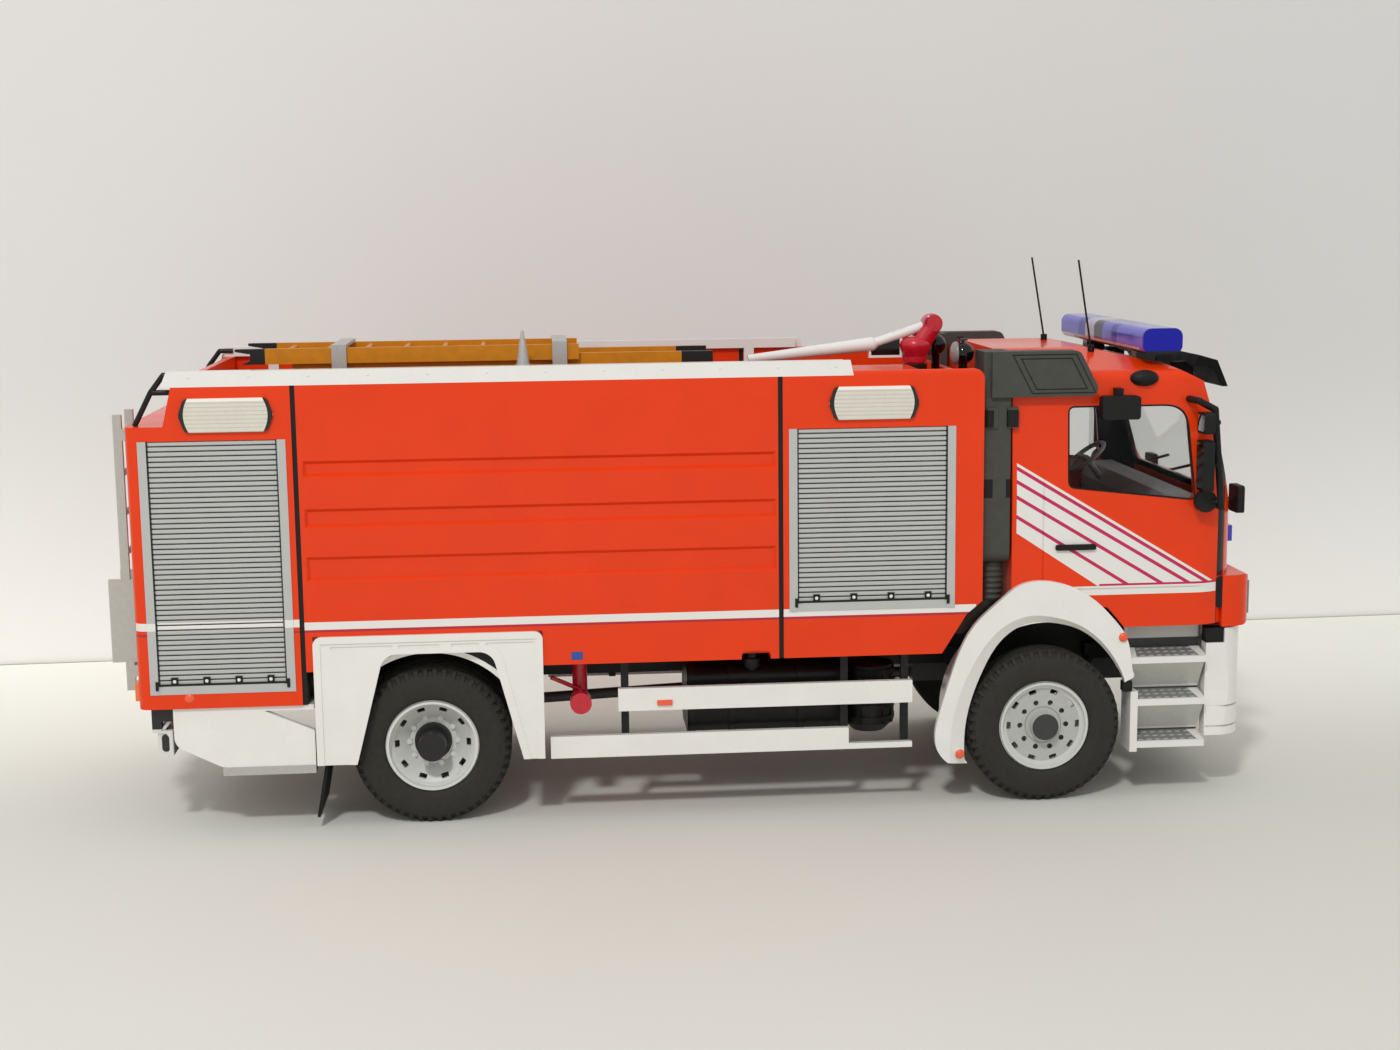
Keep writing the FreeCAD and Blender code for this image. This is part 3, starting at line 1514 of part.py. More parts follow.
def cannon_pedestal():
    """Fixed pedestal of the roof cannon with its flange on the deck and the socket of the turning joint."""
    x = cannon_x
    y = cannon_y
    flange_top = deck_z + cannon_pedestal_flange_height
    column = [
        rod(cannon_pedestal_flange_radius, (x, y, deck_z), (x, y, flange_top)),
        rod(cannon_pedestal_radius, (x, y, deck_z), (x, y, cannon_turn_z - side_play)),
    ]
    socket = rod(stub_radius + running_clearance, (x, y, flange_top), (x, y, cannon_turn_z + overrun))
    return cut(join(column), [socket])


def cannon_elbow():
    """Turning elbow: spigot in the pedestal, riser, and a fork that carries the barrel's pin."""
    x = cannon_x
    y = cannon_y
    head_half = cannon_head_half_width
    flange_top = deck_z + cannon_pedestal_flange_height
    shoulder_z = cannon_turn_z + cannon_elbow_height
    spigot = rod(stub_radius, (x, y, flange_top + side_play), (x, y, cannon_turn_z + cannon_elbow_radius / 2))
    riser = rod(cannon_elbow_radius, (x, y, cannon_turn_z), (x, y, shoulder_z))
    knee = Part.makeSphere(cannon_elbow_radius, Vector(x, y, shoulder_z))
    neck = cone(cannon_elbow_radius, head_half, (x, y, shoulder_z), (cannon_pivot_x, y, cannon_pivot_z))
    head = disc_y(cannon_head_radius, cannon_pivot_x, cannon_pivot_z, y - head_half, y + head_half)
    body = join([spigot, riser, knee, neck, head])
    slot_half = cannon_hub_half_width + side_play / 2
    slot = disc_y(cannon_head_radius + side_play, cannon_pivot_x, cannon_pivot_z, y - slot_half,
                  y + slot_half)
    reach = cannon_pipe_radius + side_play
    above = cannon_pivot_z + cannon_head_radius + overrun
    way_rear = side_plate([
        (cannon_pivot_x, cannon_pivot_z - reach), (cannon_kink_x, cannon_kink_z - reach),
        (cannon_kink_x, above), (cannon_pivot_x, above),
    ], y - slot_half, y + slot_half)
    pin = disc_y(cannon_pin_radius, cannon_pivot_x, cannon_pivot_z, y - head_half, y + head_half)
    return join([cut(body, [slot, way_rear]), pin])


def grip_outline(inset):
    """Outline of the grip plate under the cannon's pipe, drawn in by an inset."""
    rise = (cannon_pivot_z - cannon_kink_z) / cannon_kink_reach
    x1 = cannon_pivot_x - grip_front_gap - cannon_kink_reach / 4
    x0 = x1 - grip_length
    top = cannon_kink_z + (x0 - cannon_kink_x) * rise
    low = cannon_kink_z - grip_depth
    i = inset
    return [(x0 + i, low + i), (x1 - i, low + i), (x1 - i, top + grip_length * rise - i), (x0 + i, top - i)]


def cannon_barrel():
    """Tilting barrel: hub on the pin, a pipe down to the tube, the tapered tube and the frame of the grip."""
    y = cannon_y
    pivot = (cannon_pivot_x, y, cannon_pivot_z)
    kink = (cannon_kink_x, y, cannon_kink_z)
    tip = (cannon_tip_x, y, cannon_tip_z)
    hub = disc_y(cannon_head_radius, pivot[0], pivot[2], y - cannon_hub_half_width, y + cannon_hub_half_width)
    pipe = rod(cannon_pipe_radius, pivot, kink)
    tube = cone(cannon_tube_radius, cannon_tip_radius, kink, tip)
    ball = Part.makeSphere(cannon_tube_radius, Vector(*kink))
    half = grip_half_thickness
    frame = side_plate(grip_outline(0), y - half, y + half)
    frame = cut(frame, [side_plate(grip_outline(grip_border), y - half - overrun, y + half + overrun)])
    bore = disc_y(cannon_pin_radius + running_clearance, pivot[0], pivot[2], y - overrun, y + overrun)
    return cut(join([hub, pipe, ball, tube, frame]), [bore])


def cannon_controls():
    """Black grip plate under the cannon's pipe and the lever above it."""
    y = cannon_y
    half = grip_half_thickness - seat_gap
    plate = side_plate(grip_outline(grip_border), y - half, y + half)
    rise = (cannon_pivot_z - cannon_kink_z) / cannon_kink_reach
    x0 = cannon_kink_x + handle_length / 2
    z0 = cannon_kink_z + handle_length / 2 * rise
    lever = side_plate([(x0, z0), (x0 + handle_length, z0 + handle_length * rise),
                        (x0 + handle_length * 2, z0 + handle_height + handle_length * rise),
                        (x0 + handle_length, z0 + handle_height)], y - half, y + half)
    return cut(apart([plate, lever]), [cannon_barrel()])


def searchlights():
    """Two gloss black searchlights on short feet."""
    lamps = []
    for y in searchlight_places_y:
        ball = Part.makeSphere(searchlight_radius, Vector(searchlight_x, y, searchlight_z))
        foot = rod(searchlight_foot_radius, (searchlight_x, y, deck_z), (searchlight_x, y, searchlight_z))
        cap_top = searchlight_z + searchlight_radius + searchlight_cap_height
        cap = rod(searchlight_foot_radius / 3, (searchlight_x, y, searchlight_z), (searchlight_x, y, cap_top))
        bar_half = searchlight_foot_radius
        bar = box(searchlight_x - bar_half, searchlight_x + bar_half, y - bar_half / 3, y + bar_half / 3,
                  cap_top - searchlight_cap_height / 2, cap_top)
        lamps.append(join([ball, foot, cap, bar]))
    return apart(lamps)


def roof_standpipe():
    """Pointed cone on a coupling with a side branch, beside the ladder."""
    x = standpipe_x
    y = standpipe_y
    top = standpipe_cone_z + standpipe_cone_height
    arm_z = standpipe_cone_z - standpipe_radius
    pieces = [
        rod(standpipe_radius, (x, y, deck_z), (x, y, standpipe_cone_z)),
        cone(standpipe_cone_radius, standpipe_tip_radius, (x, y, standpipe_cone_z), (x, y, top)),
        rod(standpipe_arm_radius, (x, y, arm_z), (x - standpipe_arm_length, y, arm_z)),
    ]
    return join(pieces)


# Cab

def cab_profile(inset):
    """Side outline of the cab, drawn in by an inset."""
    i = inset
    return [
        (cab_rear_x + i, cab_low_z + i), (cab_low_front_x - i, cab_low_z + i),
        (cab_front_x - i, cab_nose_z - i / 2),
        (screen_foot_x + (cab_front_x - screen_foot_x) / 2 - i, cab_belt_z + i / 3),
        (roof_brow_x - i, roof_brow_z - i / 2), (roof_bend_x - i / 2, roof_bend_z - i),
        (roof_flat_front_x, cab_roof_z - i), (cab_rear_x + i, cab_roof_z - i),
    ]


def cab_form(inset):
    """The cab as one solid: side outline, plan with rounded front corners, and front outline together."""
    half = cab_half_width - inset
    wide = cab_half_width + overrun
    side = side_plate(cab_profile(inset), -wide, wide)
    front = cab_front_x - inset
    rear = cab_rear_x + inset
    bow = (cab_front_x - screen_foot_x) / 2
    plan = plan_plate([(rear, -half), (front - bow, -half), (front, -half / 2), (front, half / 2),
                       (front - bow, half), (rear, half)], 0, cab_roof_z + overrun,
                      [0, cab_front_corner_radius - inset, 0, 0, cab_front_corner_radius - inset, 0])
    shoulder_y = cab_shoulder_y - inset
    section = cross_plate([
        (-half, 0), (half, 0), (half, cab_tumble_z), (shoulder_y, cab_shoulder_z - inset),
        (roof_flat_half_width, cab_roof_z - inset), (-roof_flat_half_width, cab_roof_z - inset),
        (-shoulder_y, cab_shoulder_z - inset), (-half, cab_tumble_z),
    ], rear, front, [0, 0, 0, shoulder_round, roof_round, roof_round, shoulder_round, 0])
    return side.common(plan).common(section)


def side_window_tool():
    """Prism through both doors in the shape of the side windows."""
    wide = cab_half_width + overrun
    outline = [
        (window_rear_x, window_low_z + window_sill_slope), (window_front_x, window_low_z - window_sill_slope),
        (window_front_x - window_top_slant, window_top_z), (window_rear_x, window_top_z),
    ]
    radii = [window_corner_radius, window_corner_radius, window_front_corner_radius, window_corner_radius]
    return side_plate(outline, -wide, wide, radii)


def windscreen_tool():
    """Prism through the front in the shape of the windscreen."""
    half = screen_half_width
    top_half = half - cab_wall
    outline = [
        (-half, screen_low_z), (half, screen_low_z), (top_half, screen_top_z), (-top_half, screen_top_z),
    ]
    return cross_plate(outline, dash_rear_x + cab_wall, cab_front_x + overrun, window_corner_radius * 2)


def rear_window_tool():
    """Prism through the cab's rear wall."""
    outline = rectangle(-rear_window_half_width, rear_window_half_width, rear_window_z0,
                        rear_window_z0 + rear_window_height)
    return cross_plate(outline, cab_rear_x - overrun, cab_rear_x + cab_wall + overrun, window_corner_radius)


def wheel_arch_tool():
    """Room for the front wheel and its mudguard band, on both sides."""
    radius = mudguard_arc_radius + mudguard_band
    wide = cab_half_width + overrun
    return disc_y(radius, front_axle_x, mudguard_arc_z, -wide, wide)


def door_grooves():
    """Shut lines of the doors."""
    face = cab_half_width - door_groove_depth
    wide = cab_half_width + overrun
    g = door_groove / 2
    low = cab_low_z + door_low_rise
    top = window_top_z + door_top_rise
    tools = []
    for x in (door_rear_x, door_front_x):
        tools.append(box(x - g, x + g, face, wide, low, top))
    tools.append(box(door_rear_x, door_front_x, face, wide, low - g, low + g))
    tools.append(box(door_rear_x, door_front_x - door_top_slant, face, wide, top - g, top + g))
    return tools


def mudguard_way():
    """Room over the front mudguard's outline that the cab's lower edge leaves on both sides."""
    far = cab_half_width + overrun
    grown = 1 + mudguard_gap / mudguard_arc_radius
    shares = [(a * grown, b * grown) for a, b in mudguard_outline_shares]
    points = [Vector(x, -far, z) for x, z in placed_shares(shares)]
    feet = [Vector(points[-1].x, -far, 0), Vector(points[0].x, -far, 0)]
    return Part.Face(closed_by_lines(smooth_edge(points), feet)).extrude(Vector(0, far * 2, 0))


def cab_shell():
    """Hollow cab with its windows cut and open over the front wheels."""
    outer = cab_form(0)
    inner = cab_form(cab_wall)
    below = box(cab_rear_x + cab_wall, cab_low_front_x - cab_wall * 2, cab_wall - cab_half_width,
                cab_half_width - cab_wall, 0, cab_floor_z)
    shell = cut(outer, [inner, below])
    tools = [side_window_tool(), windscreen_tool(), rear_window_tool(), wheel_arch_tool()]
    for groove in door_grooves():
        tools += two(groove)
    step = box(cab_rear_x - overrun, cab_step_x, -cab_half_width - overrun, cab_half_width + overrun, 0,
               cab_floor_z)
    tools.append(step.common(mudguard_way()))
    plate = box(cab_front_x - grille_depth * 2, cab_front_x + overrun, -grille_half_width, grille_half_width,
                grille_z0, grille_z1)
    tools.append(plate)
    return cut(shell, tools)


def cab_glazing():
    """Panes that lie inside the window openings."""
    layer = cut(cab_form(glass_inset), [cab_form(glass_inset + glass_thickness)])
    panes = []
    for tool in (side_window_tool(), windscreen_tool(), rear_window_tool()):
        panes.append(layer.common(tool))
    return apart(panes)


def cab_floor():
    """Floor pan with the engine tunnel."""
    x0 = cab_rear_x + cab_wall
    x1 = cab_low_front_x - cab_wall * 2
    half = cab_half_width - cab_wall
    pan = box(x0, x1, -half, half, cab_floor_z, cab_floor_z + floor_thickness)
    tunnel = box(x0, dash_rear_x, -tunnel_half_width, tunnel_half_width, cab_floor_z,
                 cab_floor_z + tunnel_height)
    hollow = box(x0, dash_rear_x - floor_thickness, floor_thickness - tunnel_half_width,
                 tunnel_half_width - floor_thickness, cab_floor_z - overrun,
                 cab_floor_z + tunnel_height - floor_thickness)
    return cut(join([pan, tunnel]), [hollow]).common(cab_form(cab_wall))


def cab_seats():
    """Two seats on pedestals."""
    seats = []
    floor_top = cab_floor_z + floor_thickness
    cushion_z = floor_top + seat_pedestal_height
    front = seat_rear_x + seat_depth
    for y in (-seat_place_y, seat_place_y):
        y0 = y - seat_half_width
        y1 = y + seat_half_width
        cushion = plan_plate(rectangle(seat_rear_x, front, y0, y1), cushion_z,
                             cushion_z + seat_cushion_height, seat_round)
        back = plan_plate(rectangle(seat_rear_x, seat_rear_x + seat_back_thickness, y0, y1), cushion_z,
                          cushion_z + seat_back_height, seat_round)
        pedestal = box(seat_rear_x + seat_back_thickness, front - seat_back_thickness,
                       y - seat_pedestal_half_width, y + seat_pedestal_half_width, floor_top, cushion_z)
        seats.append(join([cushion, back, pedestal]))
    return apart(seats)


def dashboard():
    """Dashboard with the steering column and wheel on the left."""
    half = cab_half_width - cab_wall * 2
    front = screen_foot_x - cab_wall * 3
    outline = [
        (dash_rear_x, dash_top_z - dash_height), (front, cab_floor_z + floor_thickness), (front, dash_top_z),
        (dash_rear_x + cab_wall, dash_top_z), (dash_rear_x, dash_top_z - cab_wall * 2),
    ]
    panel = side_plate(outline, -half, half)
    centre = Vector(steering_wheel_x, steering_wheel_y, steering_wheel_z)
    tilt = math.radians(steering_tilt_deg)
    axis = Vector(-math.sin(tilt), 0, math.cos(tilt))
    wheel = Part.makeTorus(steering_wheel_radius, steering_rim_radius, centre, axis)
    across = Vector(0, 1, 0)
    down = axis.cross(across)
    spokes = []
    for direction in (across, across * -1, down):
        spokes.append(Part.makeCylinder(steering_rim_radius, steering_wheel_radius, centre, direction))
    column = Part.makeCylinder(steering_column_radius, steering_column_length, centre, axis * -1)
    return join([panel, wheel, column] + spokes)


def front_grille():
    """Black radiator grille with bars across the front."""
    front = cab_front_x - grille_depth / 2
    back = cab_front_x - grille_depth * 2
    panel = box(back, back + grille_depth, -grille_half_width, grille_half_width, grille_z0, grille_z1)
    bars = [panel]
    for z in spread(grille_z0, grille_z1, (grille_z1 - grille_z0) / grille_slat_count):
        bars.append(box(back, front, -grille_half_width, grille_half_width, z - grille_slat_height / 2,
                        z + grille_slat_height / 2))
    return join(bars)


def bumper_block(rear_x, front_x, z0, z1, radius):
    """Bumper with rounded front corners, closed across the front."""
    half = bumper_half_width
    outline = [(rear_x, -half), (front_x, -half), (front_x, half), (rear_x, half)]
    return plan_plate(outline, z0, z1, [0, radius, radius, 0])


def bumper_upper():
    """Red upper bumper with rounded ends and two pockets for the headlamps."""
    half = bumper_half_width
    low = bumper_split_z + bumper_joint_gap
    block = bumper_block(upper_bumper_rear_x, bumper_front_x, low, upper_bumper_z1, bumper_corner_radius)
    rear = upper_bumper_rear_x - upper_bumper_round
    face = side_plate(rectangle(rear, bumper_front_x, low, upper_bumper_z1), -half, half, upper_bumper_round)
    block = block.common(face)
    block = cut(block, [cab_form(-seat_gap)])
    pocket = box(bumper_front_x - headlamp_depth, bumper_front_x + overrun, headlamp_y0, headlamp_y1,
                 headlamp_z0, headlamp_z1)
    return largest(cut(block, two(pocket)))


def bumper_waist():
    """Outline of the lower bumper's drawn-in waist, used to trim its side faces."""
    half = bumper_half_width
    low = lower_bumper_z0
    waist = half - bumper_waist_depth
    return [
        (-half, low), (half, low), (waist, bumper_waist_z), (half, bumper_split_z), (-half, bumper_split_z),
        (-waist, bumper_waist_z),
    ]


def bumper_lower():
    """White lower bumper with a drawn-in waist, two shallow grooves and a hollow back."""
    rear = lower_bumper_rear_x
    front = lower_bumper_front_x
    half = bumper_half_width
    block = bumper_block(rear, front, lower_bumper_z0, bumper_split_z, bumper_corner_radius)
    block = block.common(cross_plate(bumper_waist(), rear - overrun, front + overrun))
    wall = lower_bumper_wall
    inner = box(rear - overrun, front - wall, wall - half, half - wall, lower_bumper_z0 - overrun,
                bumper_split_z - cab_wall)
    insert = box(rear - overrun, rear + bumper_insert_length, -half - overrun, half + overrun,
                 bumper_split_z - bumper_insert_height, bumper_split_z + overrun)
    insert = cut(insert, [box(rear - overrun, front, wall - half, half - wall, 0, bumper_split_z + overrun)])
    tools = [inner, insert]
    depth = bumper_groove_depth
    for rise in bumper_groove_rises:
        z = lower_bumper_z0 + rise
        outer = box(rear - overrun, front + overrun, -half - overrun, half + overrun, z,
                    z + bumper_groove_height)
        core = plan_plate(rectangle(rear - overrun * 2, front - depth, depth - half, half - depth),
                          z - overrun, z + overrun, [0, bumper_corner_radius, bumper_corner_radius, 0])
        tools.append(cut(outer, [core]))
    return cut(block, tools)


def front_lamps():
    """Headlamps in the upper bumper and the two blue strobes on the grille."""
    lamp = box(bumper_front_x - headlamp_depth, bumper_front_x - seat_gap, headlamp_y0, headlamp_y1,
               headlamp_z0, headlamp_z1)
    strobe_back = cab_front_x - grille_depth
    strobe = box(strobe_back, strobe_back + strobe_depth, strobe_y - strobe_half_width,
                 strobe_y + strobe_half_width, strobe_z0, strobe_z0 + strobe_height)
    strobe = cut(strobe, [front_grille()])
    return apart([lamp, mirrored(lamp), strobe, mirrored(strobe)])


def step_way():
    """Room that the steps leave for the front end of the mudguard's band."""
    ring = disc_y(mudguard_arc_radius + mudguard_band + seat_gap, front_axle_x, mudguard_arc_z, 0,
                  step_outer_y + overrun)
    return ring.common(box(front_axle_x, step_front_x, 0, step_outer_y + overrun, mudguard_end_z - seat_gap,
                           cab_floor_z))


def tread_plates(sink):
    """Plates let into the sloping tops of the stairs, narrower behind, this far below the stair's face."""
    x0 = step_rear_x + tread_inset
    x1 = step_front_x - tread_inset
    y0 = step_back_y + step_shell
    y1 = step_outer_y - tread_lip
    plates = []
    for i in range(step_count):
        top = step_top_z - step_pitch * i
        z0 = top + tread_slope_share * (step_outer_y - y0)
        z1 = top + tread_slope_share * tread_lip
        section = [(y1, z1 - tread_thickness), (y1, z1 - sink), (y0, z0 - sink), (y0, z0 - tread_thickness)]
        plan = [(x0, y1), (x1, y1), (x1 - tread_taper, y0), (x0 + tread_taper, y0)]
        stair = plan_plate(plan, top - step_pitch / 2, top + step_pitch)
        plates.append(cross_plate(section, x0, x1).common(stair))
    return plates


def cab_steps():
    """White step castings behind the bumper: stairs with lips, sloping risers and a rear side wall."""
    x0 = step_rear_x
    x1 = step_front_x
    back = step_back_y + step_shell
    pieces = [box(x0, x1, step_back_y, back, step_low_z, step_back_top_z)]
    for i in range(step_count):
        top = step_top_z - step_pitch * i
        lip = top - step_lip_height
        rear_top = top + tread_slope_share * (step_outer_y - back)
        stair = [(step_outer_y, lip), (step_outer_y, top), (back, rear_top), (back, lip)]
        pieces.append(cross_plate(stair, x0, x1))
        if i + 1 < step_count:
            foot = rear_top - step_pitch
            outline = [
                (step_outer_y - step_shell * 2, lip), (step_outer_y - step_shell, lip), (back, foot),
                (step_back_y, foot),
            ]
            pieces.append(cross_plate(outline, x0, x1))
    pieces.append(box(x0, x0 + step_side_wall, step_back_y, step_outer_y, step_low_z,
                      step_top_z - step_pitch + step_wall_rise))
    side = largest(cut(join(pieces), [step_way()] + tread_plates(0)))
    return apart([side, mirrored(side)])


def step_treads():
    """Tread plates on the stairs."""
    plates = []
    for plate in tread_plates(tread_sink):
        sunk = cut(plate, [step_way()])
        plates += [sunk, mirrored(sunk)]
    return apart(plates)


def placed_shares(shares):
    """Points of the front mudguard's outline from shares of its arc radius."""
    reach = mudguard_arc_radius
    return [(front_axle_x + a * reach, mudguard_arc_z + b * reach) for a, b in shares]


def smooth_edge(points):
    """Smooth curve through the points."""
    curve = Part.BSplineCurve()
    curve.interpolate(points)
    return curve.toShape()


def closed_by_lines(edge, corners):
    """Closed ring: the curve, then straight lines from its end over the corners back to its start."""
    ends = [edge.valueAt(edge.LastParameter)] + corners + [edge.valueAt(edge.FirstParameter)]
    lines = [Part.makeLine(ends[i], ends[i + 1]) for i in range(len(ends) - 1)]
    return Part.Wire([edge] + lines)


def arch_flare():
    """Cutting tool for the front arch: it widens outwards at the rear and not at all at its front end."""
    inner = placed_shares(mudguard_arch_shares)
    low = mudguard_low_z - overrun * 2
    wires = []
    for y, flare in ((cab_half_width - overrun, 0), (cab_half_width, 0), (mudguard_outer_y, mudguard_flare),
                     (mudguard_outer_y + overrun, mudguard_flare)):
        points = []
        for i, (x, z) in enumerate(inner):
            away = Vector(x - front_axle_x, 0, z - mudguard_arc_z)
            grow = flare * (1 - i / (len(inner) - 1)) / away.Length
            points.append(Vector(x + away.x * grow, y, z + away.z * grow))
        feet = [Vector(points[-1].x, y, low), Vector(points[0].x, y, low)]
        wires.append(closed_by_lines(smooth_edge(points), feet))
    return Part.makeLoft(wires, True, True)


def front_mudguards():
    """White front mudguards: shaped outer flange, flared arch, inner band over the tyre and two markers."""
    x = front_axle_x
    inner = cab_half_width
    outer = mudguard_outer_y
    reach = mudguard_arc_radius
    points = [Vector(a, inner, b) for a, b in placed_shares(mudguard_outline_shares)]
    side = Part.Face(closed_by_lines(smooth_edge(points[1:]), [points[0]]))
    flange = largest(cut(side.extrude(Vector(0, outer - inner, 0)), [arch_flare()]))
    markers = []
    for share_x, share_z in mudguard_marker_shares:
        markers.append(disc_y(marker_radius, x + share_x * reach, mudguard_arc_z + share_z * reach, inner,
                              outer + marker_proud))
    ring = disc_y(mudguard_arc_radius + mudguard_band, x, mudguard_arc_z, mudguard_band_inner_y, inner)
    hole = disc_y(mudguard_arc_radius, x, mudguard_arc_z, mudguard_band_inner_y - overrun, inner + overrun)
    below = box(x, x + reach * 2, 0, outer + overrun, -axle_z, mudguard_end_z)
    below_rear = box(x - reach * 2, x, 0, outer + overrun, -axle_z, mudguard_low_z)
    band = cut(ring, [hole, below, below_rear])
    guard = join([flange, band] + markers)
    return apart([guard, mirrored(guard)])


def fairing_outline(share):
    """Outline of the sloping side panel, drawn towards its middle by a share."""
    outline = [
        (fairing_rear_low_x, fairing_low_z), (fairing_front_low_x, fairing_low_z),
        (fairing_front_top_x, column_top_z), (fairing_rear_top_x, column_top_z),
    ]
    centre_x = (fairing_rear_low_x + fairing_front_top_x) / 2
    centre_z = (fairing_low_z + column_top_z) / 2
    return [(centre_x + (x - centre_x) * share, centre_z + (z - centre_z) * share) for x, z in outline]


def bellows(side_y):
    """Ribbed rubber bellows below the column and the pipe that leads down and inwards to the frame."""
    x = (column_rear_x + column_front_x) / 2
    half = bellows_pitch / 2
    wide = bellows_radius
    narrow = bellows_radius - bellows_pitch / 3
    pieces = []
    for i in range(bellows_count):
        z = column_low_z - bellows_pitch * (i + 1)
        pieces.append(cone(wide, narrow, (x, side_y, z + half), (x, side_y, z + bellows_pitch)))
        pieces.append(cone(narrow, wide, (x, side_y, z), (x, side_y, z + half)))
    low = column_low_z - bellows_pitch * bellows_count
    bend = (x - intake_pipe_run, side_y - intake_pipe_radius, low - intake_pipe_drop)
    end = (x - intake_pipe_run, rail_half_spacing, body_floor_z + intake_pipe_radius)
    pieces.append(rod(intake_pipe_radius, (x, side_y, low + half), bend))
    pieces.append(Part.makeSphere(intake_pipe_radius, Vector(*bend)))
    pieces.append(rod(intake_pipe_radius, bend, end))
    return pieces


def side_fairings():
    """Dark air intake columns behind the cab with the sloping panels beside the roof."""
    round_low = column_low_round
    column = cross_plate(rectangle(column_inner_y, column_outer_y, column_low_z, column_top_z), column_rear_x,
                         column_front_x, [round_low, round_low, 0, 0])
    outer = fairing_outer_y
    panel = side_plate(fairing_outline(1), fairing_inner_y, outer, [0, cab_wall, cab_wall, 0])
    panel = largest(cut(panel, [cab_form(0)]))
    for share in fairing_groove_shares:
        groove = side_plate(fairing_outline(share), outer - fairing_groove_depth, outer + overrun)
        island = side_plate(fairing_outline(share - fairing_groove_share), outer - fairing_groove_depth * 2,
                            outer + overrun * 2)
        panel = cut(panel, [cut(groove, [island])])
    link_rear = column_rear_x + cab_wall
    link = side_plate([(link_rear, fairing_low_z), (fairing_rear_low_x, fairing_low_z),
                       (fairing_rear_top_x, column_top_z), (link_rear, column_top_z)],
                      column_outer_y - cab_wall, outer)
    link = largest(cut(link, [cab_form(0)]))
    clasps = []
    clasp_z = fairing_low_z - clasp_drop
    for x in (column_rear_x + clasp_length / 3, column_front_x - clasp_length / 3):
        clasp = box(x, x + clasp_length, column_outer_y - cab_wall, column_outer_y + clasp_proud, clasp_z,
                    clasp_z + clasp_height)
        clasps.append(largest(cut(clasp, [cab_form(0)])))
    pipes = bellows((column_inner_y + column_outer_y) / 2)
    piece = join([column, panel, link] + pipes + clasps)
    return apart([piece, mirrored(piece)])


# Fittings of the cab

def light_bar():
    """Blue light bar across the roof on two feet."""
    x0 = light_bar_x - light_bar_depth / 2
    x1 = light_bar_x + light_bar_depth / 2
    z0 = light_bar_z - light_bar_height / 2
    z1 = light_bar_z + light_bar_height / 2
    radius = light_bar_height / 3
    bar = side_plate(rectangle(x0, x1, z0, z1), -light_bar_half_length, light_bar_half_length, radius)
    half = light_bar_foot_length / 2
    depth = light_bar_foot_depth / 2
    foot = box(light_bar_x - depth, light_bar_x + depth, light_bar_foot_y - half,
               light_bar_foot_y + half, roof_brow_z, z0)
    foot = cut(foot, [cab_form(0)])
    top = sorted(foot.Solids, key=lambda solid: -solid.BoundBox.ZMax)[0]
    return join([bar, top, mirrored(top)])


def roof_height(x, y):
    """Height of the cab's roof at a place, found with a thin probe."""
    probe = Part.makeLine(Vector(x, y, cab_low_z), Vector(x, y, cab_roof_z + overrun))
    return probe.common(cab_form(0)).BoundBox.ZMax


def antennas():
    """Two stiff whips on small bases."""
    whips = []
    for along_share, across_share in antenna_shares:
        x = cab_rear_x + cab_length * along_share
        y = cab_half_width * across_share
        z = roof_height(x, y)
        top = (x - antenna_lean, y, antenna_top_z)
        base = rod(antenna_base_radius, (x, y, z), (x, y, z + antenna_base_height))
        whip = rod(antenna_radius, (x, y, z + antenna_base_height / 2), top)
        whips.append(cut(join([base, whip]), [cab_form(0)]))
    return apart(whips)


def sun_visor():
    """Black visor over the windscreen on the front edge of the roof."""
    t = visor_thickness
    outline = [
        (visor_rear_x, visor_top_z - t * 2), (visor_rear_x + t, visor_top_z),
        (visor_front_x - t * 2, visor_top_z - t), (visor_front_x, visor_low_z),
        (visor_front_x - t, visor_low_z), (visor_front_x - t * 3, visor_top_z - t * 2),
    ]
    body = side_plate(outline, -visor_half_width, visor_half_width)
    arm_y = visor_half_width - visor_arm_margin
    arms = []
    for y in (-arm_y, 0, arm_y):
        arm = box(roof_brow_x - t * 3, visor_rear_x + t * 3 / 2, y - t, y + t, roof_brow_z - t * 2,
                  visor_top_z - t * 3 / 2)
        arm = cut(arm, [cab_form(0)])
        arms.append(sorted(arm.Solids, key=lambda solid: -solid.BoundBox.ZMax)[0])
    return join([body] + arms)


def front_mirror():
    """Small mirror in front of the windscreen's foot, held by an arm on the cab's front."""
    y0 = front_mirror_y - front_mirror_width / 2
    y1 = front_mirror_y + front_mirror_width / 2
    x1 = cab_front_x + front_mirror_proud
    x0 = x1 - mirror_thickness
    glass = cross_plate(rectangle(y0, y1, front_mirror_z0, front_mirror_z0 + front_mirror_height), x0, x1,
                        mirror_thickness / 2)
    r = mirror_arm_radius / 2
    arm = rod(r, (x0 - mirror_arm_bend * 2, front_mirror_y, front_mirror_z0 + front_mirror_height / 2),
              ((x0 + x1) / 2, front_mirror_y, front_mirror_z0 + front_mirror_height / 2))
    return largest(cut(join([glass, arm]), [cab_form(0)]))


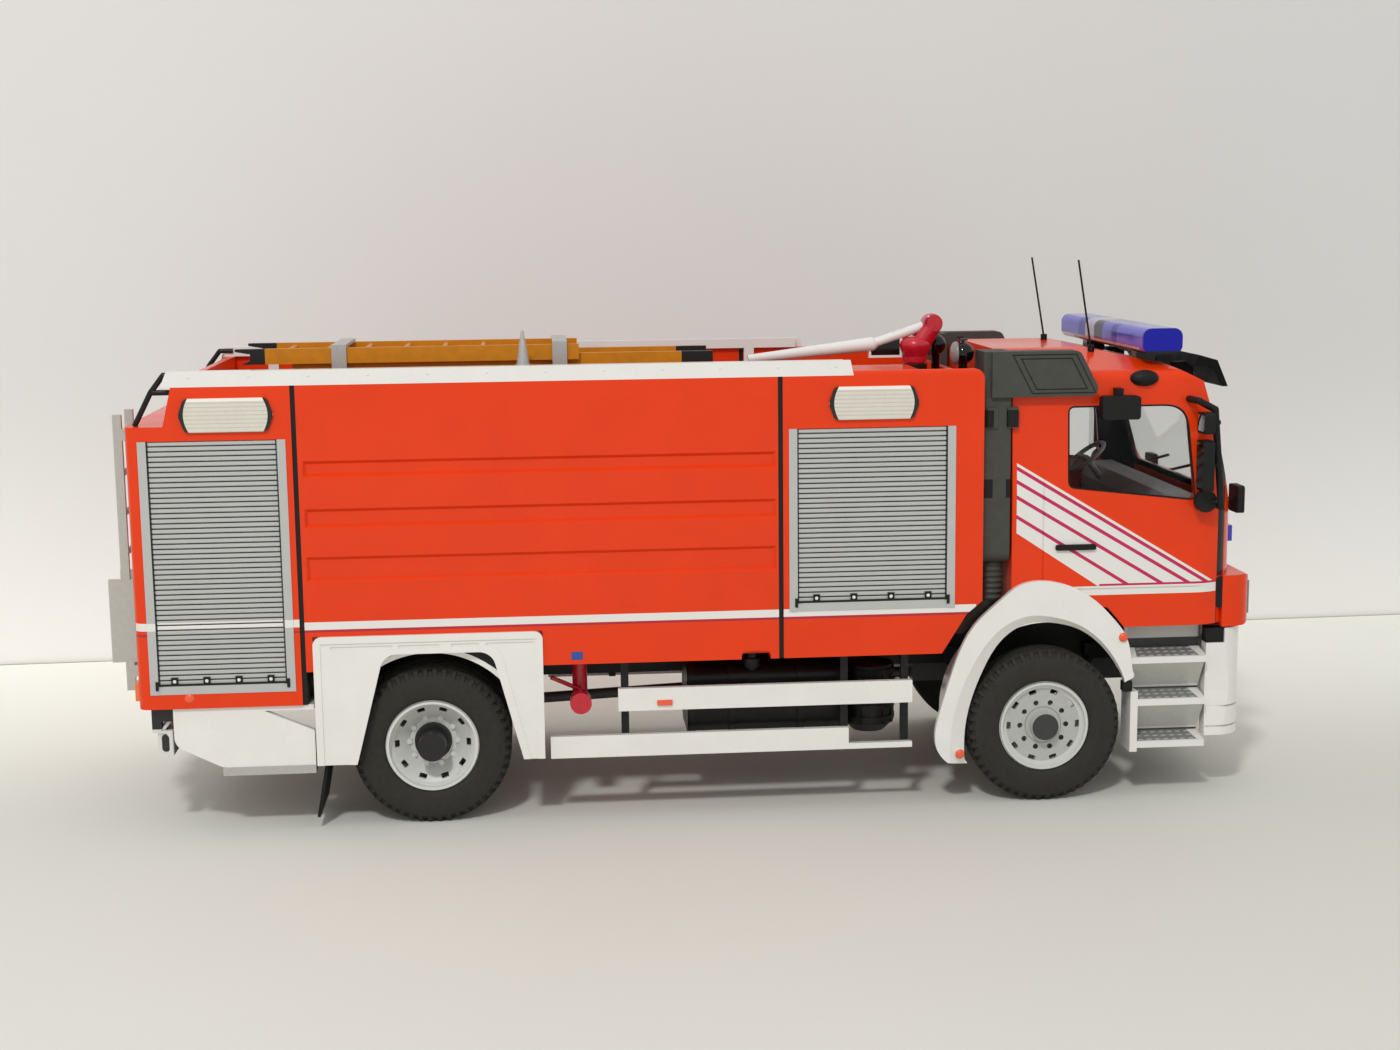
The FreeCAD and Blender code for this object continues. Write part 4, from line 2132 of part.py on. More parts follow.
def mirrors():
    """Mirror arms with two mirrors each, the round, ramp and front mirrors, and the roof side lamps."""
    y0 = mirror_inner_y
    y1 = mirror_outer_y
    t = mirror_thickness
    arm_y = mirror_arm_y
    r = mirror_arm_radius
    thin = r * 2 / 3
    side_y = cab_half_width - cab_wall
    top_root = (mirror_arm_root_x, side_y - cab_wall, mirror_arm_top_z)
    top = (mirror_arm_root_x + r, arm_y, mirror_arm_top_z)
    bend = (mirror_arm_front_x - mirror_arm_bend, arm_y, mirror_arm_top_z - mirror_arm_bend)
    low = (mirror_arm_front_x, arm_y, mirror_arm_low_z)
    low_root = (mirror_arm_front_x, side_y - cab_wall, mirror_arm_low_z)
    arm = [rod(r, top_root, top), rod(r, top, bend), rod(r, bend, low), rod(r, low, low_root)]
    arm += [Part.makeSphere(r, Vector(*point)) for point in (top, bend, low)]
    for z0, height in ((mirror_upper_z0, mirror_upper_height), (mirror_main_z0, mirror_main_height)):
        arm.append(cross_plate(rectangle(y0, y1, z0, z0 + height), mirror_x - t / 2, mirror_x + t, t / 2))
        middle = z0 + height / 2
        arm.append(rod(thin, (mirror_x, arm_y, middle), (mirror_arm_front_x - r, arm_y, middle)))
    round_x = mirror_x + round_mirror_radius / 2
    arm.append(disc_y(round_mirror_radius, round_x, round_mirror_z, y0, y0 + t))
    arm.append(rod(thin, (round_x, y0 + t / 2, round_mirror_z), (mirror_arm_front_x, arm_y, round_mirror_z)))
    piece = largest(cut(join(arm), [cab_form(0)]))
    ramp_x1 = ramp_mirror_x0 + ramp_mirror_length
    ramp = side_plate(rectangle(ramp_mirror_x0, ramp_x1, ramp_mirror_z1 - ramp_mirror_height, ramp_mirror_z1),
                      cab_half_width + seat_gap, cab_half_width + t * 2, t / 2)
    ramp_arm_x = (ramp_mirror_x0 + ramp_x1) / 2
    ramp_arm = box(ramp_arm_x - t / 2, ramp_arm_x + t / 2, cab_half_width - t, cab_half_width + t,
                   ramp_mirror_z1 - t / 2, ramp_mirror_z1 + t)
    ramp_piece = largest(cut(join([ramp, ramp_arm]), [cab_form(0)]))
    lamp = Part.makeSphere(1, Vector(0, 0, 0))
    stretch = FreeCAD.Matrix()
    stretch.scale(side_lamp_half_length, side_lamp_proud * 2, side_lamp_half_height)
    lamp = lamp.transformGeometry(stretch)
    lamp.translate(Vector(side_lamp_x, cab_shoulder_y, side_lamp_z))
    lamp = largest(cut(lamp, [cab_form(0)]))
    pieces = []
    for shape in (piece, ramp_piece, front_mirror(), lamp):
        pieces += [shape, mirrored(shape)]
    return apart(pieces)


def cab_fittings():
    """Black door handles, wipers, the wedges beside the upper bumper and the inserts in the lower one."""
    half = cab_half_width
    height = door_handle_height
    handle = side_plate(rectangle(handle_x0, handle_x0 + door_handle_length, door_handle_z,
                                  door_handle_z + height), half - door_groove_depth, half + door_handle_proud,
                        height / 3)
    handle = cut(handle, [cab_form(0)])
    rear = lower_bumper_rear_x
    wedge_low = cab_low_z + bumper_wedge_height / 2
    wedge = side_plate([
        (rear + cab_wall, wedge_low), (rear + cab_wall, wedge_low + bumper_wedge_height),
        (rear + cab_wall + bumper_wedge_length, wedge_low + bumper_wedge_height),
        (rear + cab_wall + bumper_wedge_length / 2, wedge_low),
    ], bumper_half_width - bumper_wedge_depth, bumper_half_width - seat_gap, cab_wall / 2)
    wedge = cut(wedge, [cab_form(0), bumper_upper()])
    insert = box(rear, rear + bumper_insert_length - seat_gap, bumper_half_width - lower_bumper_wall,
                 bumper_half_width - bumper_waist_depth, bumper_split_z - bumper_insert_height + seat_gap,
                 bumper_split_z)
    insert = cut(insert, [cab_form(0), bumper_lower()])
    pieces = []
    for shape in (handle, largest(wedge), largest(insert)):
        pieces += [shape, mirrored(shape)]
    r = wiper_radius
    form = cab_form(0)
    for y in wiper_places_y:
        z = cab_belt_z + wiper_foot_rise
        x = screen_foot_x + (cab_front_x - screen_foot_x) / 2 + r
        far_y = y - wiper_length
        wiper = join([rod(r, (x, y, z), (x - r, far_y, z + wiper_rise)),
                      rod(r, (x - r * 4, y, z), (x + r, y, z))])
        pieces.append(largest(cut(wiper, [form])))
    return apart(pieces)


# Under the body

def fuel_tank():
    """Fuel tank on the right with its straps, brackets and filler neck."""
    y0 = -fuel_tank_outer_y
    y1 = -fuel_tank_inner_y
    outline = [(y0, fuel_tank_z0), (y1, fuel_tank_z0), (y1, fuel_tank_z1), (y0, fuel_tank_z1)]
    tank = cross_plate(outline, fuel_tank_x0, fuel_tank_x1, fuel_tank_round)
    t = tank_strap_thickness
    pieces = [tank]
    for share in tank_strap_shares:
        x = fuel_tank_x0 + fuel_tank_length * share
        x0 = x - tank_strap_width / 2
        x1 = x + tank_strap_width / 2
        strap = cross_plate(rectangle(y0 - t, y1 + t, fuel_tank_z0 - t, fuel_tank_z1 + t), x0, x1,
                            fuel_tank_round + t)
        pieces.append(strap)
        pieces.append(box(x0, x1, y1 - t, -rail_outer_y, rail_low_z, fuel_tank_z1))
    pieces.append(rod(filler_neck_radius, (filler_x, -filler_y, fuel_tank_z1 - overrun),
                      (filler_x, -filler_y, body_floor_z)))
    pieces.append(rod(filler_radius, (filler_x, -filler_y, fuel_tank_z1),
                      (filler_x, -filler_y, fuel_tank_z1 + filler_cap_height)))
    return join(pieces)


def silencer():
    """Upright silencer drum on the right, ahead of the fuel tank, with crossing ribs and a tapered foot."""
    x = silencer_x
    y = -silencer_y
    inner = silencer_radius - silencer_rib
    straight = silencer_z0 + silencer_taper
    pieces = [rod(inner, (x, y, straight), (x, y, silencer_z1)),
              cone(inner - silencer_taper, inner, (x, y, silencer_z0), (x, y, straight))]
    half = silencer_rib_width / 2
    for z in spread(straight, silencer_z1, (silencer_z1 - straight) / silencer_rib_count):
        pieces.append(rod(silencer_radius, (x, y, z - half), (x, y, z + half)))
    upright = box(x, x + silencer_radius - silencer_rib / 3, y - half, y + half, straight,
                  silencer_z1 - silencer_rib_width)
    for i in range(silencer_upright_count):
        turned = upright.copy()
        turned.rotate(Vector(x, y, 0), Vector(0, 0, 1), 360 * i / silencer_upright_count)
        pieces.append(turned)
    half = tank_strap_width / 2
    pieces.append(box(x - half, x + half, y, -rail_outer_y, rail_low_z, rail_low_z + silencer_rib_width * 2))
    return join(pieces)


def air_tanks():
    """Two air tanks on the left side, hung from the frame rail."""
    pieces = []
    for y in (air_tank_outer_y - air_tank_pitch, air_tank_outer_y):
        pieces.append(rod(air_tank_radius, (air_tank_x0, y, air_tank_z), (air_tank_x1, y, air_tank_z)))
    half = tank_strap_width / 2
    for x in spread(air_tank_x0, air_tank_x1, air_tank_length / 2):
        top = air_tank_z + air_tank_radius
        pieces.append(box(x - half, x + half, rail_outer_y, air_tank_outer_y, rail_low_z, top + half))
    return join(pieces)


def hose_outlets():
    """Red outlet pipes with silver caps and levers, one on each side behind the guards."""
    x = outlet_x
    z = outlet_z
    y = outlet_pipe_y
    r = outlet_pipe_radius
    pieces = [
        rod(r, (x, y, z), (x, y, body_floor_z)),
        rod(r, (x, y, z), (x, outlet_outer_y - outlet_cap_length, z)),
        Part.makeSphere(r, Vector(x, y, z)),
        rod(outlet_cap_radius, (x, outlet_outer_y - outlet_cap_length, z), (x, outlet_outer_y, z)),
        rod(outlet_lever_radius, (x, y + r, z + r),
            (x - outlet_lever_length, y + r * 2, z + outlet_lever_rise)),
    ]
    side = join(pieces)
    return apart([side, mirrored(side)])


def side_guard_rails():
    """White side guard rails, upper and lower, on both sides."""
    y0 = guard_y - guard_thickness
    upper = box(upper_guard_x0, upper_guard_x1, y0, guard_y, upper_guard_z0, upper_guard_z1)
    lower = box(lower_guard_x0, lower_guard_x1, y0, guard_y, lower_guard_z0, lower_guard_z1)
    lip = box(lower_guard_x1 - overrun, upper_guard_x1, y0, guard_y, lower_guard_z0,
              lower_guard_z0 + lower_guard_lip_height)
    marker_x = upper_guard_x0 + guard_marker_inset
    marker_z = (upper_guard_z0 + upper_guard_z1) / 2 - marker_half_height
    marker = box(marker_x - marker_half_length, marker_x + marker_half_length, y0, guard_y + marker_proud,
                 marker_z - marker_half_height, marker_z + marker_half_height)
    lower = join([lower, lip])
    upper = join([upper, marker])
    return apart([upper, lower, mirrored(upper), mirrored(lower)])


def side_guard_posts():
    """Black posts behind the guard rails with arms to the frame."""
    y1 = guard_y - guard_thickness
    y0 = y1 - guard_post_thickness
    half = guard_post_width / 2
    posts = []
    for x in (upper_guard_x0 + guard_post_inset, lower_guard_x1 - half, upper_guard_x1 - guard_post_inset):
        post = box(x - half, x + half, y0, y1, lower_guard_z0, body_floor_z)
        arm = box(x - half, x + half, rail_outer_y, y1, body_floor_z - guard_arm_height, body_floor_z)
        piece = join([post, arm])
        posts += [piece, mirrored(piece)]
    return apart(posts)


def rear_mudguards():
    """White rear mudguards: bordered outer plate with its arch and slots, and the band over the tyres."""
    y1 = rear_guard_outer_y
    y0 = y1 - rear_guard_thickness
    border = rear_guard_border
    corner = rear_arch_corner_radius
    plate = side_plate(rectangle(rear_guard_x0, rear_guard_x1, rear_guard_z0, rear_guard_z1), y0, y1,
                       [0, 0, corner / 2, corner / 2])
    def arch(grow, y_start):
        low = rear_guard_z0 - overrun
        return side_plate([
            (rear_arch_x - rear_arch_half_low - grow, low), (rear_arch_x + rear_arch_half_low + grow, low),
            (rear_arch_x + rear_arch_half_top + grow, rear_arch_top_z + grow),
            (rear_arch_x - rear_arch_half_top - grow, rear_arch_top_z + grow),
        ], y_start, y1 + overrun, [0, 0, corner, corner])
    field = side_plate(rectangle(rear_guard_x0 + border, rear_guard_x1 - border, rear_guard_z0 - overrun,
                                 rear_guard_z1 - border), y1 - rear_guard_sink, y1 + overrun)
    field = cut(field, [arch(border, y0)])
    tools = [arch(0, y0 - overrun), field]
    slot_top = rear_guard_z1 - rear_slot_drop
    for low_share, high_share in rear_slot_shares:
        length = rear_guard_half_length * 2
        tools.append(side_plate(
            rectangle(rear_guard_x0 + length * low_share, rear_guard_x0 + length * high_share,
                      slot_top - rear_slot_height, slot_top), y1 - rear_guard_sink * 2, y1 + overrun,
            rear_slot_height / 3))
    plate = cut(plate, tools)
    x = rear_axle_x
    ring = disc_y(rear_band_radius + rear_band, x, axle_z, rear_band_inner_y, y0)
    hole = disc_y(rear_band_radius, x, axle_z, rear_band_inner_y - overrun, y0 + overrun)
    below = box(x - rear_band_radius * 2, x + rear_band_radius * 2, 0, y1 + overrun, -axle_z, axle_z)
    band = cut(ring, [hole, below])
    guard = join([plate, band])
    return apart([guard, mirrored(guard)])


def mud_flaps():
    """Black rubber flaps behind the rear wheels."""
    top_x = rear_axle_x - rear_band_radius - rear_band
    x0 = top_x - flap_thickness
    outline = [
        (x0, flap_top_z), (top_x, flap_top_z), (top_x, rear_guard_z0),
        (top_x - flap_slant, flap_low_z), (x0 - flap_slant, flap_low_z), (x0, rear_guard_z0),
    ]
    flap = side_plate(outline, flap_inner_y, rear_guard_outer_y - rear_guard_thickness)
    return apart([flap, mirrored(flap)])


def rear_underpanels():
    """White curved panels under the rear locker, cut back to a point at the wheel."""
    y1 = skirt_outer_y
    top = rear_locker_floor_z - skirt_lid
    mid = rear_locker_floor_z - skirt_mid_drop
    outline = [
        (skirt_rear_x, top), (skirt_rear_x, mid), (skirt_rear_x + skirt_bend_length, skirt_low_z),
        (skirt_front_x, skirt_low_z), (skirt_front_x, skirt_low_z + skirt_corner_height),
        (skirt_front_x - skirt_corner_length, top),
    ]
    t = skirt_thickness
    panel = side_plate(outline, y1 - t, y1, [0, t * 2, t * 2, 0, 0, 0])
    lid = box(skirt_rear_x, skirt_front_x, rail_outer_y, y1, top, rear_locker_floor_z)
    side = join([panel, lid])
    return apart([side, mirrored(side)])


def rear_steps():
    """Silver fold-out steps below the rear lockers."""
    z1 = skirt_low_z
    z0 = z1 - rear_step_thickness
    step = box(rear_step_x0, skirt_front_x, rear_step_outer_y - rear_step_depth, rear_step_outer_y, z0, z1)
    return apart([step, mirrored(step)])


def rear_bumper():
    """Rear underrun bar with its arms to the frame, the struts and the brackets at the corners."""
    x0 = rear_bumper_x0
    x1 = rear_bumper_x1
    half_width = rear_bumper_half_width
    bar = box(x0, x1, -half_width, half_width, rear_bumper_z0, rear_bumper_z1)
    border = bumper_cap_border
    hole = rectangle(x0 - border, x1 - bumper_cap_length, rear_bumper_z0 - border, rear_bumper_z1 - border)
    cap_hole = side_plate(hole, half_width - border, half_width + overrun, border)
    half = rear_bumper_arm_width / 2
    y = rail_half_spacing
    arm = box(x0, x1, y - half, y + half, rear_bumper_z1, body_floor_z)
    arm = cut(arm, [chassis_frame()])
    arm = sorted(arm.Solids, key=lambda solid: solid.BoundBox.ZMin)[0]
    strut_y = rear_bumper_half_width - rear_bumper_arm_width
    strut = rod(rear_strut_radius, (x0 + rear_strut_radius * 2, strut_y, rear_bumper_z1 - rear_strut_radius),
                (x0 + rear_strut_run, strut_y, rear_locker_floor_z))
    b = body_half_width - rear_bracket_tuck
    h = rear_bracket_half_y
    bracket_x0 = body_rear_x + rear_bracket_inset
    bracket = box(bracket_x0, bracket_x0 + rear_bracket_length, b - h, b + h,
                  rear_locker_floor_z - rear_bracket_drop, rear_locker_floor_z)
    upper = box(bracket_x0, bracket_x0 + rear_bumper_arm_width, b - h, b + h,
                rear_bumper_z1 - rear_strut_radius, rear_locker_floor_z)
    side = join([bracket, upper, strut])
    side = largest(cut(side, [rear_underpanels(), rear_locker()]))
    return cut(join([bar, arm, mirrored(arm), side, mirrored(side)]), two(cap_hole))


def rear_ladder():
    """Aluminium ladder on the rear face with a deeper foot section."""
    main_x1 = body_rear_x - rear_ladder_depth
    main_x0 = main_x1 - rear_ladder_depth
    foot_x0 = ladder_rear_x
    foot_x1 = main_x0 + rear_ladder_foot_depth
    y0 = rear_ladder_y0
    y1 = rear_ladder_y1
    s = rear_ladder_stile
    pieces = [
        box(main_x0, main_x1, y0, y0 + s, rear_ladder_z0, rear_ladder_z1),
        box(main_x0, main_x1, y1 - s, y1, rear_ladder_z0, rear_ladder_z1),
    ]
    foot_z0 = rear_ladder_z0 + rear_ladder_foot_rise
    for foot_y0 in (y0, y1 - s):
        pieces.append(box(foot_x0, foot_x1, foot_y0, foot_y0 + s, foot_z0, foot_z0 + rear_ladder_foot_height))
    x = (main_x0 + main_x1) / 2
    rungs = spread(rear_ladder_z0, rear_ladder_z1, rear_ladder_rung_pitch)
    for z in rungs:
        pieces.append(rod(rear_ladder_rung_radius, (x, y0 + s / 2, z), (x, y1 - s / 2, z)))
    for z in (rungs[0], rungs[-1]):
        for y in (y0 + s / 2, y1 - s / 2):
            pieces.append(box(main_x1 - s / 2, body_rear_x + shutter_recess, y - s / 2, y + s / 2, z - s,
                              z + s))
    return cut(join(pieces), [rear_locker(), shutters()])


def grab_rails():
    """Black tubular grab rails on the stepped rear roof edge, with a second tube up to the roof rail."""
    r = grab_tube_radius
    y = grab_rail_y
    top_z = grab_rail_top_z
    low = (body_rear_x + grab_rail_foot_inset, y, notch_z)
    top = (body_rear_x + grab_rail_bend_inset, y, top_z)
    rise_share = (top_z - notch_z) / (body_top_z - notch_z)
    end = (notch_front_x + notch_slant * rise_share + r, y, top_z)
    upper = (top[0] + roof_grab_run, y, top_z + roof_grab_rise)
    upper_end = (notch_top_x + r * 2, y, top_z + roof_grab_rise)
    pieces = [rod(r, low, top), rod(r, top, end), Part.makeSphere(r, Vector(*top)), rod(r, top, upper),
              Part.makeSphere(r, Vector(*upper)), rod(r, upper, upper_end)]
    side = largest(cut(join(pieces), [rear_locker(), roof_rails()]))
    return apart([side, mirrored(side)])


def tail_lamps():
    """Rear lamp clusters low on the rear face."""
    lamp = box(body_rear_x - tail_lamp_depth, body_rear_x, tail_lamp_y1 - tail_lamp_width, tail_lamp_y1,
               tail_lamp_z0, tail_lamp_z0 + tail_lamp_height)
    lamp = cut(lamp, [box(body_rear_x - overrun, body_rear_x + overrun, -tail_shutter_half_width,
                          tail_shutter_half_width, 0, body_top_z)])
    return apart([lamp, mirrored(lamp)])


def main():
    os.makedirs("parts", exist_ok=True)
    makers = (
        chassis_frame, engine_and_gearbox, front_axle, rear_axle, fuel_tank, silencer, air_tanks,
        hose_outlets, side_guard_rails, side_guard_posts, rear_mudguards, mud_flaps, rear_underpanels,
        rear_steps, rear_bumper, rear_ladder, grab_rails, tail_lamps, rear_locker, tank_body,
        front_locker, body_seams, shutters, shutter_fittings, scene_lamps, roof_rails, roof_ladder,
        ladder_fittings, cannon_pedestal, cannon_elbow, cannon_barrel, cannon_controls, searchlights,
        roof_standpipe, cab_shell, cab_glazing, cab_floor, cab_seats, dashboard, front_grille,
        bumper_upper, bumper_lower, front_lamps, cab_steps, step_treads, front_mudguards, side_fairings,
        light_bar, antennas, sun_visor, mirrors, cab_fittings,
    )
    for maker in makers:
        save(maker.__name__, maker())
    wheels()


main()
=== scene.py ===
# %% [markdown]
# A fire engine at 1:43, dressed for its picture.
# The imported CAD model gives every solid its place, and this file gives the model its paint, its
# printed stripes, its tread and its small fittings. All work is in millimetres of the model and is
# turned to metres once, when a mesh is made. The nose points to +X and the right side to -Y.

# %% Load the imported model
import bmesh
import bpy
import numpy as np
from mathutils import Matrix, Vector


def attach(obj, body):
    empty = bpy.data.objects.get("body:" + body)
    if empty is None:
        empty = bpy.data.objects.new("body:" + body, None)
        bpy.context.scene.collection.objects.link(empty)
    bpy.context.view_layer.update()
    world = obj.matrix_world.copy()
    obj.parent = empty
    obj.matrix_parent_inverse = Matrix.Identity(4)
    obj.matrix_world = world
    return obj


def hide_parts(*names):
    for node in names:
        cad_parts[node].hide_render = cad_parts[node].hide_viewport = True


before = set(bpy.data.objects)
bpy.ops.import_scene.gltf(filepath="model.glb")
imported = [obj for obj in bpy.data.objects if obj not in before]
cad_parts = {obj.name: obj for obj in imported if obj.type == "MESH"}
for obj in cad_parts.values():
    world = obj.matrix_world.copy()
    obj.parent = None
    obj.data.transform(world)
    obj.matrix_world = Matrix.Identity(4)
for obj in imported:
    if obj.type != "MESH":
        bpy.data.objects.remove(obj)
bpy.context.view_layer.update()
MM = 0.001
print("CAD nodes:", len(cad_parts))

# %% [markdown]
# The camera stands where the photograph was taken from: a little above the roof, square to the
# right side and turned a few degrees to the nose. Its place was worked out from the wheels, the
# straight edges of the body and the level floor, so the picture needs no lens shift.

# %% Camera
CAMERA_PLACE = Vector((-24.035, -330.089, 94.133)) * MM
CAMERA_RIGHT = Vector((0.99642466, -0.08373268, -0.01125791))
CAMERA_UP = Vector((0.02407398, 0.15366767, 0.98782928))
CAMERA_BACK = Vector((-0.08098362, -0.98456848, 0.15513404))
FOCAL_PIXELS = 1973.43
PHOTO_WIDTH = 1400
SENSOR_WIDTH = 36.0
camera_data = bpy.data.cameras.new("camera")
camera_data.sensor_width = SENSOR_WIDTH
camera_data.lens = FOCAL_PIXELS * SENSOR_WIDTH / PHOTO_WIDTH
camera_data.clip_start = 0.01
camera = bpy.data.objects.new("camera", camera_data)
turn = Matrix((CAMERA_RIGHT, CAMERA_UP, CAMERA_BACK)).transposed()
camera.matrix_world = Matrix.Translation(CAMERA_PLACE) @ turn.to_4x4()
bpy.context.scene.collection.objects.link(camera)
bpy.context.scene.camera = camera
bpy.context.scene.view_settings.view_transform = "Standard"
print("camera lens", round(camera_data.lens, 2), "mm")

# %% [markdown]
# Colours are written as on a paint chart, in sRGB hex. Blender's shaders count in linear light, so
# one function turns each pair of digits into a linear value.

# %% Colour and node helpers


def linear(colour):
    """sRGB hex to linear RGBA: v/12.92 below 0.04045, and ((v + 0.055)/1.055)^2.4 above it."""
    value = np.array([int(colour[i:i + 2], 16) for i in (1, 3, 5)]) / 255
    value = np.where(value <= 0.04045, value / 12.92, ((value + 0.055) / 1.055) ** 2.4)
    return (*value.tolist(), 1.0)


def node(tree, kind, inputs=None, **settings):
    """Add one node: settings are its options, and inputs are values or links for its sockets."""
    made = tree.nodes.new("ShaderNode" + kind)
    for key, value in settings.items():
        setattr(made, key, value)
    for key, value in (inputs or {}).items():
        if isinstance(value, bpy.types.NodeSocket):
            tree.links.new(value, made.inputs[key])
        else:
            made.inputs[key].default_value = value
    return made


def millimetres(tree, centre=(0, 0, 0)):
    """Object coordinates as X, Y and Z sockets in millimetres, counted from a centre."""
    place = node(tree, "TexCoord").outputs["Object"]
    scaled = node(tree, "Mapping", {"Vector": place, "Scale": (1 / MM,) * 3,
                                    "Location": tuple(-c for c in centre)})
    split = node(tree, "SeparateXYZ", {0: scaled.outputs[0]})
    return scaled.outputs[0], split.outputs[0], split.outputs[1], split.outputs[2]


# Ends for a range that is open on one side: no point of the model is FAR from its middle, and no
# distance is below zero.
FAR = 99.0
BELOW_ZERO = -1.0


def between(tree, value, low, high):
    """Mask that is 1 where low < value < high: the product of two comparisons."""
    above = node(tree, "Math", {0: value, 1: low}, operation="GREATER_THAN")
    below = node(tree, "Math", {0: value, 1: high}, operation="LESS_THAN")
    return all_of(tree, above.outputs[0], below.outputs[0])


def folded(tree, masks, operation):
    """One mask from several: the operation joins the first two, and then the result and the next."""
    result = masks[0]
    for mask in masks[1:]:
        result = node(tree, "Math", {0: result, 1: mask}, operation=operation).outputs[0]
    return result


def all_of(tree, *masks):
    """Mask that is 1 where every mask is: their product."""
    return folded(tree, masks, "MULTIPLY")


def any_of(tree, *masks):
    """Mask that is 1 where at least one mask is: their maximum."""
    return folded(tree, masks, "MAXIMUM")


def within(tree, value, spans):
    """Mask that is 1 where a value lies in any of several spans."""
    return any_of(tree, *[between(tree, value, *span) for span in spans])


def distance(tree, value, middle=0.0):
    """Distance of a value from a middle: the size of (value - middle)."""
    offset = node(tree, "Math", {0: value, 1: middle}, operation="SUBTRACT")
    return node(tree, "Math", {0: offset.outputs[0]}, operation="ABSOLUTE").outputs[0]


def ring(tree, a, b, centre, low, high):
    """Mask of a flat ring: the distance of (a, b) from a centre lies between two radii."""
    point = node(tree, "CombineXYZ", {0: a, 1: b})
    reach = node(tree, "VectorMath", {0: point.outputs[0], 1: (*centre, 0.0)}, operation="DISTANCE")
    return between(tree, reach.outputs["Value"], low, high)


def share_of_pitch(tree, value, start, pitch):
    """How far a value is through its pitch, from 0 to 1: the fraction of (value - start) / pitch."""
    steps = node(tree, "Math", {0: value, 1: 1 / pitch, 2: -start / pitch}, operation="MULTIPLY_ADD")
    return node(tree, "Math", {0: steps.outputs[0]}, operation="FRACT").outputs[0]


def painted(tree, under, colour, mask):
    """A paint-chart colour over another colour where a mask is 1."""
    mix = node(tree, "Mix", {0: mask, 6: under, 7: linear(colour)}, data_type="RGBA")
    return mix.outputs[2]


# Noise in Blender seldom leaves this range, so the range is stretched over a whole variation.
NOISE_RANGE = {1: 0.3, 2: 0.7}


def finish(name, colour, roughness=0.4, speckle=0.04, grain=1.2, bump=0.0, bump_grain=0.6,
           rough_spread=0.06, pattern=None, centre=(0, 0, 0), **shader_values):
    """Principled material from a base colour with slow and fine colour variation.

    The colour is base * (1 - speckle) to base * (1 + speckle) along a noise of the given grain in
    millimetres. The roughness follows a second noise, and the bump a third one. A pattern paints
    its masks over the colour, from the place of each point in millimetres.
    """
    material = bpy.data.materials.new(name)
    material.use_nodes = True
    tree = material.node_tree
    shader = tree.nodes["Principled BSDF"]
    place, x, y, z = millimetres(tree, centre)
    cloud = node(tree, "TexNoise", {"Vector": place, "Scale": 1 / grain, "Detail": 3.0})
    tone = node(tree, "MapRange", {0: cloud.outputs[0], **NOISE_RANGE, 3: 1 - speckle, 4: 1 + speckle})
    shade = node(tree, "VectorMath", {0: linear(colour)[:3], "Scale": tone.outputs[0]},
                 operation="SCALE").outputs[0]
    if pattern:
        shade = pattern(tree, shade, x, y, z)
    tree.links.new(shade, shader.inputs["Base Color"])
    fog = node(tree, "TexNoise", {"Vector": place, "Scale": 0.6 / grain, "Detail": 2.0})
    rough = node(tree, "MapRange", {0: fog.outputs[0], **NOISE_RANGE,
                                    3: max(roughness - rough_spread, 0.02), 4: roughness + rough_spread})
    tree.links.new(rough.outputs[0], shader.inputs["Roughness"])
    if bump:
        height = node(tree, "TexNoise", {"Vector": place, "Scale": 1 / bump_grain, "Detail": 2.0})
        dent = node(tree, "Bump", {"Height": height.outputs[0], "Distance": bump * MM, "Strength": 1.0})
        tree.links.new(dent.outputs[0], shader.inputs["Normal"])
    for key, value in shader_values.items():
        shader.inputs[key.replace("_", " ").title().replace("Ior", "IOR")].default_value = value
    return material


print("helpers for colour ready")

# %% [markdown]
# The red is a day-glow enamel that was airbrushed on, so it is even, glossy and a little wavy like
# orange peel. The white stripes and the magenta lines are water-slide prints on it. They lie flat on
# the paint, so they are drawn by masks in the paint's own colour and not as raised pieces.

# %% Red enamel of the body
RED = "#E63C0D"
WHITE = "#E6E4DE"
BODY_SIDE_Y = 28.6
STRIPE_X = (-86.0, 44.2)
STRIPE_Z = (31.9, 33.1)
STRIPE_REAR_Z = (32.4, 33.6)
STRIPE_EDGE_Z = (31.5, 31.85)
REAR_SEAM_X = -60.7
ARCH_X = (-55.5, -24.0)
ARCH_TOP_Z = 28.4
DECK_Z = (66.2, 66.8)
DECK_HALF_WIDTH = 28.3


def stripe_of_body(tree, shade, x, y, z):
    """White band along both sides with a fine dark red line under it: masks between two heights.

    The band lies a little higher behind the rear seam. The deck between the walls is a deeper red,
    as it gets less light there, and the inside of the rear wheel arch is black.
    """
    side = distance(tree, y)
    flank = all_of(tree, between(tree, side, BODY_SIDE_Y, FAR), between(tree, x, *STRIPE_X))
    high = all_of(tree, between(tree, x, -FAR, REAR_SEAM_X), between(tree, z, *STRIPE_REAR_Z))
    low = all_of(tree, between(tree, x, REAR_SEAM_X, FAR), between(tree, z, *STRIPE_Z))
    shade = painted(tree, shade, "#AE3040", all_of(tree, flank, between(tree, z, *STRIPE_EDGE_Z)))
    shade = painted(tree, shade, WHITE, all_of(tree, flank, any_of(tree, high, low)))
    deck = all_of(tree, between(tree, side, BELOW_ZERO, DECK_HALF_WIDTH), between(tree, z, *DECK_Z))
    shade = painted(tree, shade, "#8E2412", deck)
    arch = all_of(tree, between(tree, x, *ARCH_X), between(tree, z, 0.0, ARCH_TOP_Z))
    return painted(tree, shade, "#121211", arch)


